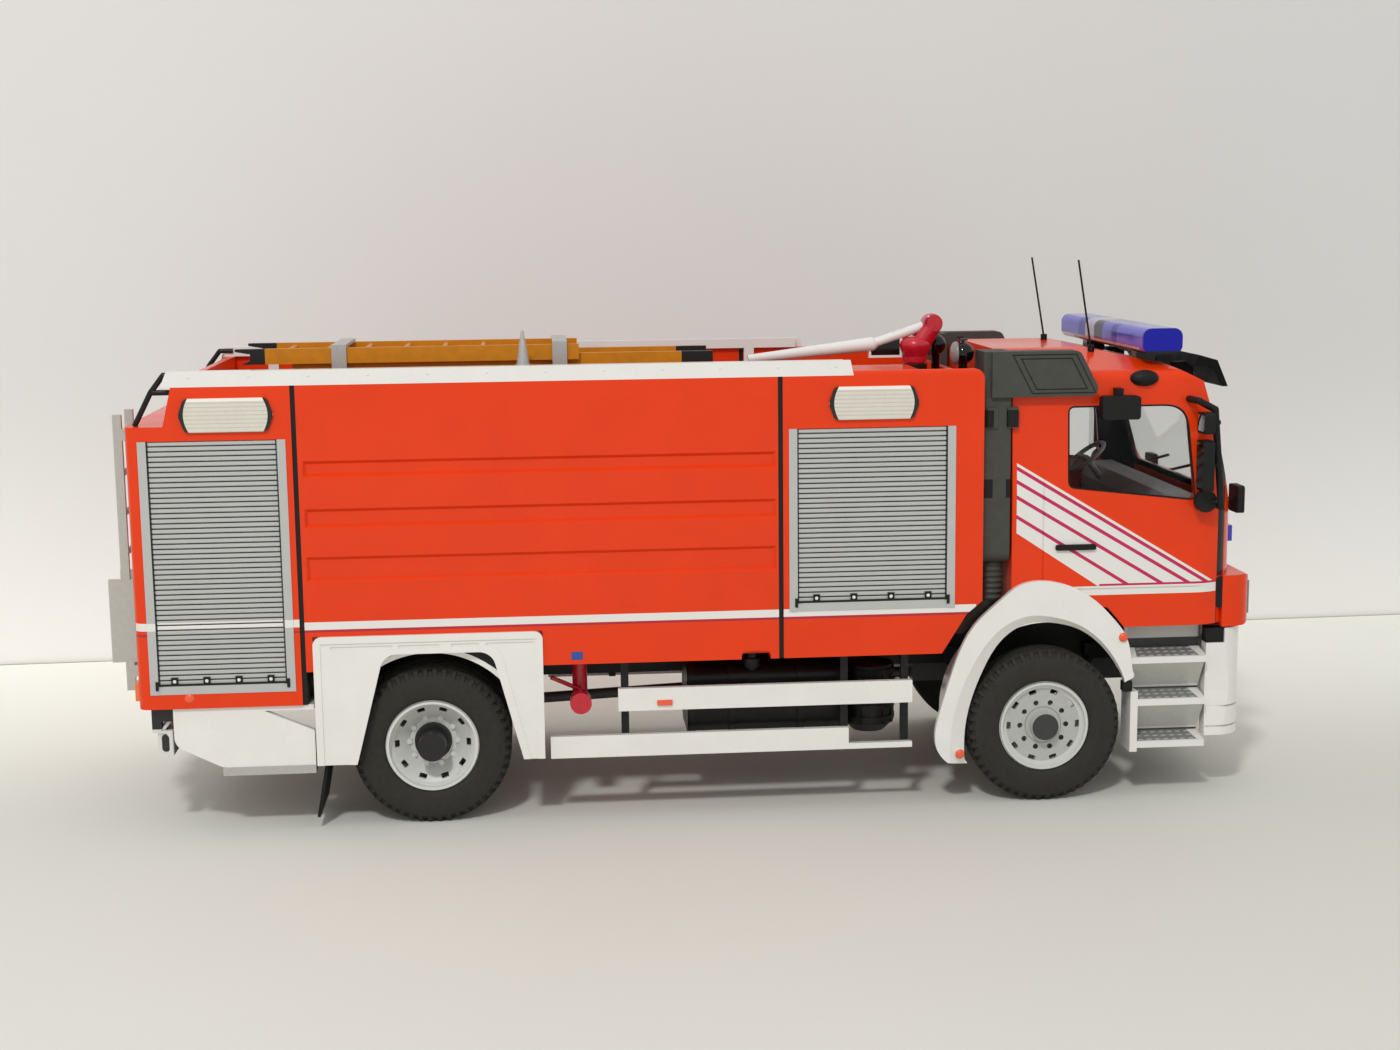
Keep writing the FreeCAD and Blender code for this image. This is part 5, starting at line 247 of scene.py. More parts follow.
AIRBRUSHED_RED = {"colour": RED, "speckle": 0.03, "grain": 9.0, "bump": 0.012, "bump_grain": 1.6,
                  "rough_spread": 0.04, "coat_weight": 0.12, "coat_roughness": 0.06,
                  "specular_ior_level": 0.22}
red_enamel = finish("airbrushed_red_enamel", roughness=0.24, pattern=stripe_of_body, **AIRBRUSHED_RED)
print("body enamel has", len(red_enamel.node_tree.nodes), "nodes")

# %% [markdown]
# The band on the cab door runs from the rear edge down to the low stripe. In the side view it lies
# between two straight lines z = top + slope * x, and the magenta lines are thin bands beside them.

# %% Red enamel of the cab
MAGENTA = "#C42A58"
CAB_SIDE_Y = 24.0
DOOR_X = (51.0, 84.5)
BAND_FOOT_Z = 35.1
BAND_UPPER = (86.1, -0.609)
BAND_LOWER = (77.9, -0.666)
LOW_STRIPE_X = (60.0, 83.9)
LOW_STRIPE_Z = (33.6, 35.05)
LOW_LINE_X = (64.5, 84.2)
LOW_LINE_Z = (35.05, 35.4)
MAGENTA_LINES = ((85.3, -0.609), (82.7, -0.600), (80.6, -0.607), (78.4, -0.625))
MAGENTA_HALF_WIDTH = 0.32
CABIN_X = (50.55, 85.5)
CABIN_Z = (36.0, 67.0)
CABIN_HALF_WIDTH = 26.3


def height_over_line(tree, x, z, top, slope):
    """Height of a point above the line z = top + slope * x."""
    drop = node(tree, "Math", {0: x, 1: slope, 2: top}, operation="MULTIPLY_ADD").outputs[0]
    return node(tree, "Math", {0: z, 1: drop}, operation="SUBTRACT").outputs[0]


def stripes_of_cab(tree, shade, x, y, z):
    """Diagonal white band with magenta lines, the low stripe that it runs into, and a dark cabin."""
    side = distance(tree, y)
    flank = between(tree, side, CAB_SIDE_Y, FAR)
    door = all_of(tree, between(tree, z, BAND_FOOT_Z, FAR), between(tree, x, *DOOR_X))
    band = all_of(tree, door, between(tree, height_over_line(tree, x, z, *BAND_UPPER), -FAR, 0.0),
                  between(tree, height_over_line(tree, x, z, *BAND_LOWER), 0.0, FAR))
    stripe = all_of(tree, between(tree, z, *LOW_STRIPE_Z), between(tree, x, *LOW_STRIPE_X))
    shade = painted(tree, shade, WHITE, all_of(tree, flank, any_of(tree, band, stripe)))
    falling = any_of(tree, *[
        between(tree, height_over_line(tree, x, z, *line), -MAGENTA_HALF_WIDTH, MAGENTA_HALF_WIDTH)
        for line in MAGENTA_LINES])
    level = all_of(tree, between(tree, z, *LOW_LINE_Z), between(tree, x, *LOW_LINE_X))
    lines = any_of(tree, all_of(tree, door, falling), level)
    shade = painted(tree, shade, MAGENTA, all_of(tree, flank, lines))
    cabin = all_of(tree, between(tree, side, BELOW_ZERO, CABIN_HALF_WIDTH),
                   between(tree, x, *CABIN_X), between(tree, z, *CABIN_Z))
    return painted(tree, shade, "#1A1A19", cabin)


cab_enamel = finish("airbrushed_red_enamel_cab", roughness=0.2, pattern=stripes_of_cab, **AIRBRUSHED_RED)
plain_red = finish("airbrushed_red_enamel_plain", RED, roughness=0.22, speckle=0.03, grain=6.0, bump=0.01,
                   bump_grain=1.4, coat_weight=0.1, coat_roughness=0.08, specular_ior_level=0.2)
print("cab enamel has", len(cab_enamel.node_tree.nodes), "nodes")

# %% [markdown]
# A roller shutter is a curtain of slats, sprayed satin silver. The CAD has every slat, and this
# finish paints shade into the joint between two slats and draws the black seals down both ends.

# %% Roller shutters
# Each side shutter: its rear and front edge, the foot of the lowest slat and the pitch. The tail
# shutter: its half width, the foot of the lowest slat and the pitch.
SIDE_SHUTTERS = ((-82.7, -63.3, 23.8, 37.6 / 48), (15.9, 39.45, 34.1, 27.3 / 35))
TAIL_SHUTTER = (17.7, 25.9, 35.5 / 46)
TAIL_SHUTTER_X = -84.0
SHUTTER_SIDE_Y = 28.0
SHUTTER_TOP_Z = 61.4
FOOT_MARGIN = 0.1
JOINT_SHARE = 0.12
SEAL_WIDTH = 0.24
SEAL_OVERLAP = 0.02


def dark_joint(tree, z, foot, pitch):
    """Mask of the shadow between two slats: a share of the pitch on both sides of each joint."""
    share = share_of_pitch(tree, z, foot, pitch)
    joint = within(tree, share, ((BELOW_ZERO, JOINT_SHARE), (1 - JOINT_SHARE, FAR)))
    return all_of(tree, joint, between(tree, z, foot - FOOT_MARGIN, SHUTTER_TOP_Z))


def slat_lines(tree, shade, x, y, z):
    """Painted shade in the joints between the slats, black seals at both slat ends, and the white stripe at
    the rear.
    """
    side = distance(tree, y)
    flank = between(tree, side, SHUTTER_SIDE_Y, FAR)
    half_width, tail_foot, tail_pitch = TAIL_SHUTTER
    dark = [all_of(tree, between(tree, side, BELOW_ZERO, half_width), between(tree, x, -FAR, TAIL_SHUTTER_X),
                   dark_joint(tree, z, tail_foot, tail_pitch))]
    for rear, front, foot, pitch in SIDE_SHUTTERS:
        dark.append(all_of(tree, flank, between(tree, x, rear, front), dark_joint(tree, z, foot, pitch)))
        seals = within(tree, x, ((rear - SEAL_OVERLAP, rear + SEAL_WIDTH),
                                 (front - SEAL_WIDTH, front + SEAL_OVERLAP)))
        dark.append(all_of(tree, flank, seals, between(tree, z, foot, SHUTTER_TOP_Z)))
    stripe = all_of(tree, flank, between(tree, x, -FAR, REAR_SEAM_X), between(tree, z, *STRIPE_REAR_Z))
    shade = painted(tree, shade, WHITE, stripe)
    # The joints get painted shade, in the same dark as the seals.
    return painted(tree, shade, "#3A3A38", any_of(tree, *dark))


shutter_silver = finish("satin_slat_silver", "#B9B9B6", roughness=0.5, speckle=0.02, grain=2.5,
                        pattern=slat_lines)
print("shutter finish has", len(shutter_silver.node_tree.nodes), "nodes")

# %% [markdown]
# The other finishes are hobby paints and bare plastics. Each gets its own gloss: white enamel is
# shiny, the chassis is semi-gloss black, and the fairing, the flaps and the tyres are matt.

# %% Hobby paints
# Brushed gloss white: small lights run along its edges.
white_enamel = finish("gloss_white_enamel", "#E9E7E1", roughness=0.25, speckle=0.02, grain=5.0, bump=0.012,
                      bump_grain=1.2, coat_weight=0.4, coat_roughness=0.1)
# Semi-gloss black and dull grey, dusted on: the chassis stays dark and its forms only just show.
black_semigloss = finish("semigloss_black_paint", "#151514", roughness=0.4, speckle=0.15, grain=1.5,
                         bump=0.01, specular_ior_level=0.3)
grey_dull = finish("dull_grey_metal_paint", "#4A4A48", roughness=0.55, speckle=0.12, grain=1.2, bump=0.02)
# Gloss crimson on the pipework: deeper and cooler than the body's red.
crimson = finish("gloss_crimson_paint", "#C4142A", roughness=0.28, speckle=0.05, grain=1.5, bump=0.01,
                 coat_weight=0.3)
# Satin silver and bare aluminium: a soft grey light with no mirror image in it.
SATIN_SILVER = {"colour": "#B9B7B2", "roughness": 0.42, "speckle": 0.04, "grain": 0.6, "metallic": 0.35,
                "bump": 0.008, "bump_grain": 0.2}
silver_paint = finish("satin_silver_paint", **SATIN_SILVER)
aluminium = finish("satin_aluminium", "#C4C2BC", roughness=0.35, speckle=0.04, grain=0.8, metallic=0.8,
                   bump=0.006, bump_grain=0.2)
# Satin ochre, thinned and streaky, stands for the varnished wood of the ladder.
ochre = finish("satin_ochre_paint", "#CC8216", roughness=0.4, speckle=0.08, grain=1.8, bump=0.012,
               specular_ior_level=0.25)
# Worn grey on the tread plates, rubbed almost to the metal.
tread_plate = finish("worn_tread_plate_paint", "#7F7F7C", roughness=0.45, speckle=0.08, grain=0.6,
                     metallic=0.1, bump=0.01, bump_grain=0.2)
print("hobby paints ready")

# %% Plastics, rubber and glazing
# Rubber swallows nearly all light, and its coarse bump breaks up what is left.
black_rubber = finish("matt_black_rubber", "#1A1A19", roughness=0.75, speckle=0.12, grain=0.8, bump=0.03,
                      bump_grain=0.25, specular_ior_level=0.25)
tyre_rubber = finish("matt_tyre_rubber", "#2F2E29", roughness=0.8, speckle=0.1, grain=0.9, bump=0.02,
                     bump_grain=0.3, specular_ior_level=0.3)
# Black plastics, from polished to matt: the sharper the light on it, the smoother the moulding.
gloss_black = finish("polished_black_plastic", "#0B0B0B", roughness=0.08, speckle=0.1, grain=2.0,
                     coat_weight=0.15, specular_ior_level=0.35)
matt_black = finish("matt_black_plastic", "#171717", roughness=0.55, speckle=0.12, grain=1.0, bump=0.015,
                    specular_ior_level=0.25)
visor_black = finish("satin_black_visor_plastic", "#0D0D0D", roughness=0.5, speckle=0.1, grain=1.5,
                     bump=0.01, specular_ior_level=0.12)
seat_plastic = finish("matt_black_seat_plastic", "#1A1A1C", roughness=0.7, speckle=0.15, grain=1.0, bump=0.03)
dash_plastic = finish("matt_grey_dash_plastic", "#A3A3A0", roughness=0.65, speckle=0.1, grain=1.0, bump=0.02)
# Clear orange resin over a pale backing, and fine wire that was blackened in acid.
amber_lens = finish("orange_lens", "#F0592C", roughness=0.25, speckle=0.04, grain=0.8, coat_weight=0.6)
wire_black = finish("blackened_wire", "#1A1A1A", roughness=0.4, speckle=0.1, grain=0.5, metallic=0.5)
# Thin vacuum-formed glazing bends light very little, so its index is low.
glass = finish("clear_vacuum_formed_glazing", "#F6F8F8", roughness=0.02, speckle=0.0, rough_spread=0.0,
               transmission_weight=1.0, ior=1.15)
print("plastics, rubber and glazing ready")

# %% [markdown]
# Some castings carry two or three colours, because the maker of such a model brushes them by hand:
# black ends on the cream scene lamps, clear and blue lengths in the light bar. Masks on the distance
# from a place give each colour its sharp border.

# %% Scene lamps and light bar
LAMP_MIDDLES = (-70.65, 27.85)
LAMP_MIDDLE_Z = 65.25
LAMP_BOW = 0.11
LAMP_ENDS = (6.25, 6.98)
LAMP_HIGHLIGHT_Z = 67.35
LAMP_RIB_Z = 62.7
LAMP_RIB_PITCH = 0.62
LAMP_RIB_SHARE = 0.22


def lamp_fronts(tree, shade, x, y, z):
    """Painted shade on the fine ribs, a painted highlight on the top edge, and black bowed ends.

    An end is where |x - middle| + bow * (z - middle)^2 lies between the ends of the half length.
    """
    rise = distance(tree, z, LAMP_MIDDLE_Z)
    bowed = node(tree, "Math", {0: rise, 1: rise}, operation="MULTIPLY").outputs[0]
    reaches = [node(tree, "Math", {0: bowed, 1: LAMP_BOW, 2: distance(tree, x, middle)},
                    operation="MULTIPLY_ADD").outputs[0] for middle in LAMP_MIDDLES]
    rib = share_of_pitch(tree, z, LAMP_RIB_Z, LAMP_RIB_PITCH)
    # Painted shade: a darker band on each fine rib.
    shade = painted(tree, shade, "#C6BFB1", between(tree, rib, 0.0, LAMP_RIB_SHARE))
    # Painted highlight: the top edge drawn brighter.
    shade = painted(tree, shade, "#F4F1E8", between(tree, z, LAMP_HIGHLIGHT_Z, FAR))
    ends = any_of(tree, *[between(tree, reach, *LAMP_ENDS) for reach in reaches])
    return painted(tree, shade, "#171716", ends)


# Lengths of the light bar: from y, to y, and the colour.
BAR_PARTS = ((-24.6, -24.0, "#0507A6"), (-24.0, -10.0, "#6061D6"), (-10.0, -7.0, "#0E12A4"),
             (-7.0, -1.5, "#5D5ED4"), (-1.5, 3.3, "#0A0C38"), (3.3, 8.8, "#B4B8CC"), (8.8, 13.0, "#0E12A4"),
             (13.0, 24.6, "#5D5ED4"))
BAR_GLINT_Z = (72.05, 72.5)
BAR_GLINT_Y = -22.0


def bar_lengths(tree, shade, x, y, z):
    """One colour for each length of the light bar, then a pale band of painted glint and the black foot under
    it.
    """
    for low, high, colour in BAR_PARTS:
        shade = painted(tree, shade, colour, between(tree, y, low, high))
    # Painted glint: a pale band just above the black foot.
    glint = all_of(tree, between(tree, z, *BAR_GLINT_Z), between(tree, y, BAR_GLINT_Y, FAR))
    shade = painted(tree, shade, "#D8D8E0", glint)
    return painted(tree, shade, "#111114", between(tree, z, 0.0, BAR_GLINT_Z[0]))


lamp_cream = finish("cream_white_lamp_front", "#D9D3C6", roughness=0.3, speckle=0.03, grain=2.0,
                    pattern=lamp_fronts)
bar_plastic = finish("blue_light_bar_plastic", "#5D5ED4", roughness=0.12, speckle=0.06, grain=1.5,
                     pattern=bar_lengths, transmission_weight=0.15, ior=1.4, coat_weight=0.1)
print("light bar has", len(BAR_PARTS), "lengths")

# %% [markdown]
# A rim is cast in one piece and sprayed silver, and its hub cap is dark. Its nut holes are painted
# shade, dark spots in place of holes, and its outer edge is painted lighter, a painted highlight where
# it catches the most light. All of it is round, so rings about the axle do it.

# %% Wheel rims
FRONT_AXLE_X = 56.0
REAR_AXLE_X = -41.6
AXLE_Z = 12.4
AXLE = (0.0, 0.0)
NUTS = 10
NUT_CIRCLE = 3.75
NUT_RADIUS = 0.42
# Rings of each rim: the colour, and the inner and outer radius.
# The first ring of each rim is a painted highlight on its outer edge.
FRONT_RINGS = (("#D3D4CF", 6.0, 9.0), ("#8A8B88", 2.85, 3.0), ("#393938", BELOW_ZERO, 2.15))
REAR_RINGS = (("#DCDDD8", 6.7, 9.0), ("#191918", BELOW_ZERO, 2.95))


def with_rings(tree, shade, a, b, centre, rings):
    """Colour with rings about one centre of (a, b), each with its own colour and two radii."""
    for colour, inner, outer in rings:
        shade = painted(tree, shade, colour, ring(tree, a, b, centre, inner, outer))
    return shade


def nut_holes(tree, x, z):
    """Mask of a circle of holes: the angle is split in equal shares and laid out flat along the circle."""
    angle = node(tree, "Math", {0: z, 1: x}, operation="ARCTAN2").outputs[0]
    share = share_of_pitch(tree, angle, -np.pi / NUTS, 2 * np.pi / NUTS)
    length = 2 * np.pi * NUT_CIRCLE / NUTS
    arc = node(tree, "Math", {0: share, 1: length, 2: -length / 2}, operation="MULTIPLY_ADD").outputs[0]
    point = node(tree, "CombineXYZ", {0: x, 1: z})
    reach = node(tree, "VectorMath", {0: point.outputs[0]}, operation="LENGTH").outputs["Value"]
    return ring(tree, arc, distance(tree, reach, NUT_CIRCLE), AXLE, BELOW_ZERO, NUT_RADIUS)


def front_rim_shades(tree, shade, x, y, z):
    """Painted highlight on the outer ring, a fine turned line, a dark hub cap, and painted shade in the nut
    holes.
    """
    shade = with_rings(tree, shade, x, z, AXLE, FRONT_RINGS)
    # Painted shade: dark spots where the nut holes are.
    return painted(tree, shade, "#2A2A29", nut_holes(tree, x, z))


def rear_rim_shades(tree, shade, x, y, z):
    """Painted highlight on the rim edge, and a black hub cap in a deep silver dish."""
    return with_rings(tree, shade, x, z, AXLE, REAR_RINGS)


RIM_SURFACE = {"roughness": 0.45, "speckle": 0.04, "grain": 0.7, "metallic": 0.1, "bump": 0.01,
               "bump_grain": 0.25}
front_rim_paint = finish("silver_front_rim_paint", "#B8B9B4", pattern=front_rim_shades,
                         centre=(FRONT_AXLE_X, 0.0, AXLE_Z), **RIM_SURFACE)
rear_rim_paint = finish("silver_rear_rim_paint", "#D2D3CE", pattern=rear_rim_shades,
                        centre=(REAR_AXLE_X, 0.0, AXLE_Z), **RIM_SURFACE)
print("front rim has", NUTS, "nut holes")

# %% [markdown]
# The rear bar ends in white caps with a dark insert. The intake column behind the cab is held by
# black clasps, and the ladder lies in black forks between two silver straps.

# %% Bar ends, clasps and straps
BAR_END_Y = 27.7
BAR_END_Z = (12.3, 16.7)
INSERT_X = -82.35
INSERT_Z = 14.5
INSERT_HALF_HEIGHT = 0.8
INSERT_RADIUS = 0.6
COLUMN_SIDE_Y = 27.0
CLASPS_X = ((45.0, 47.1), (49.2, 51.5))
CLASPS_Z = ((49.6, 52.6), (60.8, 63.5))
FORKS_X = ((-FAR, -63.0), (-4.0, FAR))


def bumper_cap(tree, shade, x, y, z):
    """White cap on both ends of the rear bar, with a dark rounded insert in its middle.

    The insert is where the distance from a short upright line is under its radius.
    """
    end = all_of(tree, between(tree, distance(tree, y), BAR_END_Y, FAR), between(tree, z, *BAR_END_Z))
    up = node(tree, "Math", {0: distance(tree, z, INSERT_Z), 1: INSERT_HALF_HEIGHT},
              operation="SUBTRACT", use_clamp=True).outputs[0]
    insert = ring(tree, distance(tree, x, INSERT_X), up, (0.0, 0.0), BELOW_ZERO, INSERT_RADIUS)
    shade = painted(tree, shade, "#D9D8D2", end)
    return painted(tree, shade, "#262623", all_of(tree, end, insert))


def column_clasps(tree, shade, x, y, z):
    """Black clasps on the intake column: two side by side at each of two heights."""
    side = between(tree, distance(tree, y), COLUMN_SIDE_Y, FAR)
    clasps = all_of(tree, side, within(tree, z, CLASPS_Z), within(tree, x, CLASPS_X))
    return painted(tree, shade, "#141413", clasps)


def strap_and_fork_shades(tree, shade, x, y, z):
    """Black forks at both ends of the ladder: all that lies outside the two silver straps."""
    return painted(tree, shade, "#20201E", within(tree, x, FORKS_X))


bumper_bar_paint = finish("black_bar_with_white_cap", "#1C1C1B", roughness=0.38, speckle=0.12, grain=1.5,
                          pattern=bumper_cap)
intake_grey = finish("matt_dark_grey_intake_moulding", "#454640", roughness=0.62, speckle=0.08, grain=1.5,
                     bump=0.02, bump_grain=0.4, pattern=column_clasps, specular_ior_level=0.3)
fitting_silver = finish("satin_silver_strap_paint", pattern=strap_and_fork_shades, **SATIN_SILVER)
print("bar, column and strap finishes ready")

# %% [markdown]
# A tail lamp is one moulding with three fields. A headlamp has two silver bowls behind a clear cover,
# and on so small a model they are printed, as rings about the middle of each bowl.

# %% Tail lamps and headlamps
ORANGE_FROM_Y = 26.2
CLEAR_TO_Y = 24.2
HEADLAMP_Z = (29.0, 35.0)
BOWLS_Y = (17.0, 21.2)
BOWL_Z = 31.9
BOWL_RINGS = (("#DADCDD", BELOW_ZERO, 1.95), ("#9A9C9E", 1.2, 1.32), ("#F2F3F3", BELOW_ZERO, 0.5))
STROBE_Z = (40.0, 44.0)


def tail_lamp_fields(tree, shade, x, y, z):
    """Three fields of a tail lamp: orange outside, red in the middle, clear inside."""
    side = distance(tree, y)
    shade = painted(tree, shade, "#E8742A", between(tree, side, ORANGE_FROM_Y, FAR))
    return painted(tree, shade, "#D8D4D0", between(tree, side, BELOW_ZERO, CLEAR_TO_Y))


def front_lamp_fields(tree, shade, x, y, z):
    """Two silver bowls with fine rings behind each clear cover, and the blue strobes above."""
    side = distance(tree, y)
    shade = painted(tree, shade, "#77797B", between(tree, z, *HEADLAMP_Z))
    for middle in BOWLS_Y:
        shade = with_rings(tree, shade, side, z, (middle, BOWL_Z), BOWL_RINGS)
    return painted(tree, shade, "#2A34C8", between(tree, z, *STROBE_Z))


tail_lens = finish("moulded_tail_lamp_lens", "#B01214", roughness=0.15, speckle=0.05, grain=1.0,
                   coat_weight=0.8, pattern=tail_lamp_fields)
head_lens = finish("clear_cover_over_silver_bowls", "#77797B", roughness=0.1, speckle=0.03, grain=1.0,
                   coat_weight=0.8, pattern=front_lamp_fields)
print("lamp finishes ready")

# %% [markdown]
# The steps under the cab door are white plates in front of a white wall. Painted shade, grey on the
# wall and the risers, a dark line in each gap and half-light above it, makes the deep corners that
# white paint alone would not show at this size.

# %% Cab steps
STEPS_REAR_X = 70.4
STEP_WALL_Y = 24.0
RISER_Y = 27.4
RISERS_Z = ((10.9, 15.2), (17.9, 22.2))
GAPS_Z = (10.15, 17.1)
GAP_SHADE_HEIGHT = 0.8
HALF_LIGHT_HEIGHT = 1.4
TOP_SHADE_Z = (23.9, 25.6)


def step_shades(tree, shade, x, y, z):
    """Painted shade on the white wall and risers: grey, a dark line and half-light above each plate's rear
    edge, black above the top one and pale grey over that.
    """
    front = between(tree, x, STEPS_REAR_X, FAR)
    side = distance(tree, y)
    wall = all_of(tree, front, between(tree, side, BELOW_ZERO, STEP_WALL_Y))
    risers = all_of(tree, front, between(tree, side, BELOW_ZERO, RISER_Y), within(tree, z, RISERS_Z))
    # Painted shade: the white wall and risers drawn grey.
    shade = painted(tree, shade, "#C4C3BC", any_of(tree, wall, risers))
    for low in GAPS_Z:
        middle, high = low + GAP_SHADE_HEIGHT, low + HALF_LIGHT_HEIGHT
        # Painted shade: a dark line in the gap over each plate's rear edge, then half-light above it.
        shade = painted(tree, shade, "#565653", all_of(tree, wall, between(tree, z, low, middle)))
        shade = painted(tree, shade, "#8B8B86", all_of(tree, wall, between(tree, z, middle, high)))
    # Painted shade above the top plate: pale grey high up, black just over the plate.
    shade = painted(tree, shade, "#C9C8C2", all_of(tree, wall, between(tree, z, TOP_SHADE_Z[1], FAR)))
    return painted(tree, shade, "#1B1B1A", all_of(tree, wall, between(tree, z, *TOP_SHADE_Z)))


step_enamel = finish("white_step_enamel", WHITE, roughness=0.3, speckle=0.02, grain=4.0, bump=0.012,
                     bump_grain=1.2, coat_weight=0.2, pattern=step_shades)
print("step finish has", len(step_enamel.node_tree.nodes), "nodes")

# %% Every CAD node gets its finish
NODES_OF_FINISH = (
    (black_semigloss, "chassis_frame front_axle rear_axle fuel_tank silencer air_tanks side_guard_posts "
                      "grab_rails body_seams cannon_pedestal shutter_fittings"),
    (white_enamel, "side_guard_rails rear_mudguards rear_underpanels roof_rails cannon_barrel "
                   "bumper_lower front_mudguards"),
    (red_enamel, "rear_locker tank_body front_locker"), (cab_enamel, "cab_shell"),
    (plain_red, "bumper_upper"), (crimson, "hose_outlets cannon_elbow"), (ochre, "roof_ladder"),
    (grey_dull, "engine_and_gearbox"), (silver_paint, "rear_steps roof_standpipe"),
    (fitting_silver, "ladder_fittings"), (aluminium, "rear_ladder"), (shutter_silver, "shutters"),
    (tread_plate, "step_treads"), (step_enamel, "cab_steps"), (black_rubber, "mud_flaps"),
    (tyre_rubber, "tyre_front_left tyre_front_right tyre_rear_left tyre_rear_right"),
    (front_rim_paint, "rim_front_left rim_front_right"), (rear_rim_paint, "rim_rear_left rim_rear_right"),
    (bumper_bar_paint, "rear_bumper"), (intake_grey, "side_fairings"), (wire_black, "antennas"),
    (gloss_black, "searchlights cannon_controls"), (visor_black, "sun_visor"),
    (matt_black, "cab_floor front_grille mirrors cab_fittings"), (seat_plastic, "cab_seats"),
    (dash_plastic, "dashboard"), (glass, "cab_glazing"), (lamp_cream, "scene_lamps"),
    (bar_plastic, "light_bar"), (tail_lens, "tail_lamps"), (head_lens, "front_lamps"),
)
finish_of = {name: material for material, names in NODES_OF_FINISH for name in names.split()}
for name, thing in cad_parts.items():
    thing.data.materials.clear()
    thing.data.materials.append(finish_of[name])
print(len(NODES_OF_FINISH), "finishes on", len(finish_of), "nodes")

# %% [markdown]
# New pieces are meshes that are worked out as whole arrays: a shape is a grid of points, and the quads
# between them follow from the grid alone. Shapes are joined, copied and mirrored while they are still
# arrays, because that is quick and leaves one tidy mesh. A piece closes on itself, so its doubles are
# merged and its faces are turned outwards at the end.

# %% Arrays for new pieces
ACROSS = {"x": (1, 2, 0), "y": (0, 2, 1), "z": (0, 1, 2)}


def quads(rows, columns, wrap_rows=False):
    """Corner numbers of a grid's quads: each row closes on itself, and the rows do if they are wrapped."""
    row, column = np.meshgrid(np.arange(rows if wrap_rows else rows - 1), np.arange(columns), indexing="ij")
    after = (row + 1) % rows
    beside = (column + 1) % columns
    return np.stack([row * columns + column, row * columns + beside, after * columns + beside,
                     after * columns + column], axis=-1).reshape(-1, 4)


def lathe(profile, centre=(0.0, 0.0, 0.0), axis="y", steps=32):
    """Turned shape: profile point (r, t) goes to (r cos a, r sin a) across the axis and t along it."""
    profile = np.asarray(profile, float)
    angle = np.linspace(0, 2 * np.pi, steps, endpoint=False)
    points = np.zeros((len(profile), steps, 3))
    u, v, w = ACROSS[axis]
    points[..., u] = profile[:, :1] * np.cos(angle)
    points[..., v] = profile[:, :1] * np.sin(angle)
    points[..., w] = profile[:, 1:]
    return (points + centre).reshape(-1, 3), quads(len(profile), steps)


def soft_outline(corners, reach, steps=7):
    """Closed outline with soft corners: corner C becomes (1-t)^2 A + 2t(1-t) C + t^2 B.

    A and B lie on the two sides that meet in C, at the corner's own reach from it.
    """
    corner = np.asarray(corners, float)
    reach = np.broadcast_to(np.asarray(reach, float), len(corner))[:, None]
    before = np.roll(corner, 1, 0) - corner
    after = np.roll(corner, -1, 0) - corner
    start = (corner + before / np.linalg.norm(before, axis=1, keepdims=True) * reach)[:, None]
    end = (corner + after / np.linalg.norm(after, axis=1, keepdims=True) * reach)[:, None]
    t = np.linspace(0, 1, steps)[None, :, None]
    return ((1 - t) ** 2 * start + 2 * t * (1 - t) * corner[:, None] + t ** 2 * end).reshape(-1, 2)


TO_MIDDLE = 1e9


def plate(outline, level, thickness, axis="y", edge=0.08):
    """Flat plate with a softened edge: the outline is carried over steps of (inset, height).

    An inset moves each point towards the middle, and the first and last step close the plate there.
    """
    outline = np.asarray(outline, float)
    middle = outline.mean(axis=0)
    away = outline - middle
    length = np.linalg.norm(away, axis=1)
    steps = np.array([(TO_MIDDLE, 0.0), (0.0, 0.0), (0.0, thickness - edge), (edge, thickness),
                      (TO_MIDDLE, thickness)])
    keep = np.clip(1 - steps[:, :1] / length, 0, 1)
    points = np.zeros((len(steps), len(outline), 3))
    u, v, w = ACROSS[axis]
    points[..., [u, v]] = middle + away * keep[..., None]
    points[..., w] = level + steps[:, 1:]
    return points.reshape(-1, 3), quads(len(steps), len(outline))


SIDEWAYS = (0.0, 1.0, 0.0)


def tube(path, radius, sides=8, closed=False):
    """Round tube: at each point of the path a ring radius * (cos a * side + sin a * up) is set.

    Side is the path's direction crossed with the Y axis, and up is square to both. An open tube
    starts and ends in a point, which closes it.
    """
    path = np.asarray(path, float)
    ahead = np.roll(path, -1, 0) - np.roll(path, 1, 0) if closed else np.gradient(path, axis=0)
    ahead /= np.linalg.norm(ahead, axis=1, keepdims=True)
    side = np.cross(ahead, SIDEWAYS)
    side /= np.linalg.norm(side, axis=1, keepdims=True)
    up = np.cross(side, ahead)
    angle = np.linspace(0, 2 * np.pi, sides, endpoint=False)[None, :, None]
    rings = path[:, None] + radius * (np.cos(angle) * side[:, None] + np.sin(angle) * up[:, None])
    if not closed:
        first, last = (np.repeat(tip[:, None], sides, 1) for tip in (path[:1], path[-1:]))
        rings = np.concatenate([first, rings, last])
    return rings.reshape(-1, 3), quads(len(rings), sides, wrap_rows=closed)


def joined(*surfaces):
    """One surface from several: the points in a row, and the corner numbers moved on to match."""
    starts = np.cumsum([0] + [len(points) for points, faces in surfaces])
    return (np.concatenate([points for points, faces in surfaces]),
            np.concatenate([faces + start for (points, faces), start in zip(surfaces, starts)]))


def scattered(surface, places):
    """Copies of a surface: every point is added to every place."""
    points, faces = surface
    places = np.asarray(places, float)
    moved = (points[None] + places[:, None]).reshape(-1, 3)
    return moved, (faces[None] + np.arange(len(places))[:, None, None] * len(points)).reshape(-1, 4)


def both_sides(surface):
    """The surface and its mirror image in the model's middle plane."""
    points, faces = surface
    return joined(surface, (points * (1, -1, 1), faces[:, ::-1]))


MERGE_DISTANCE = 0.002 * MM


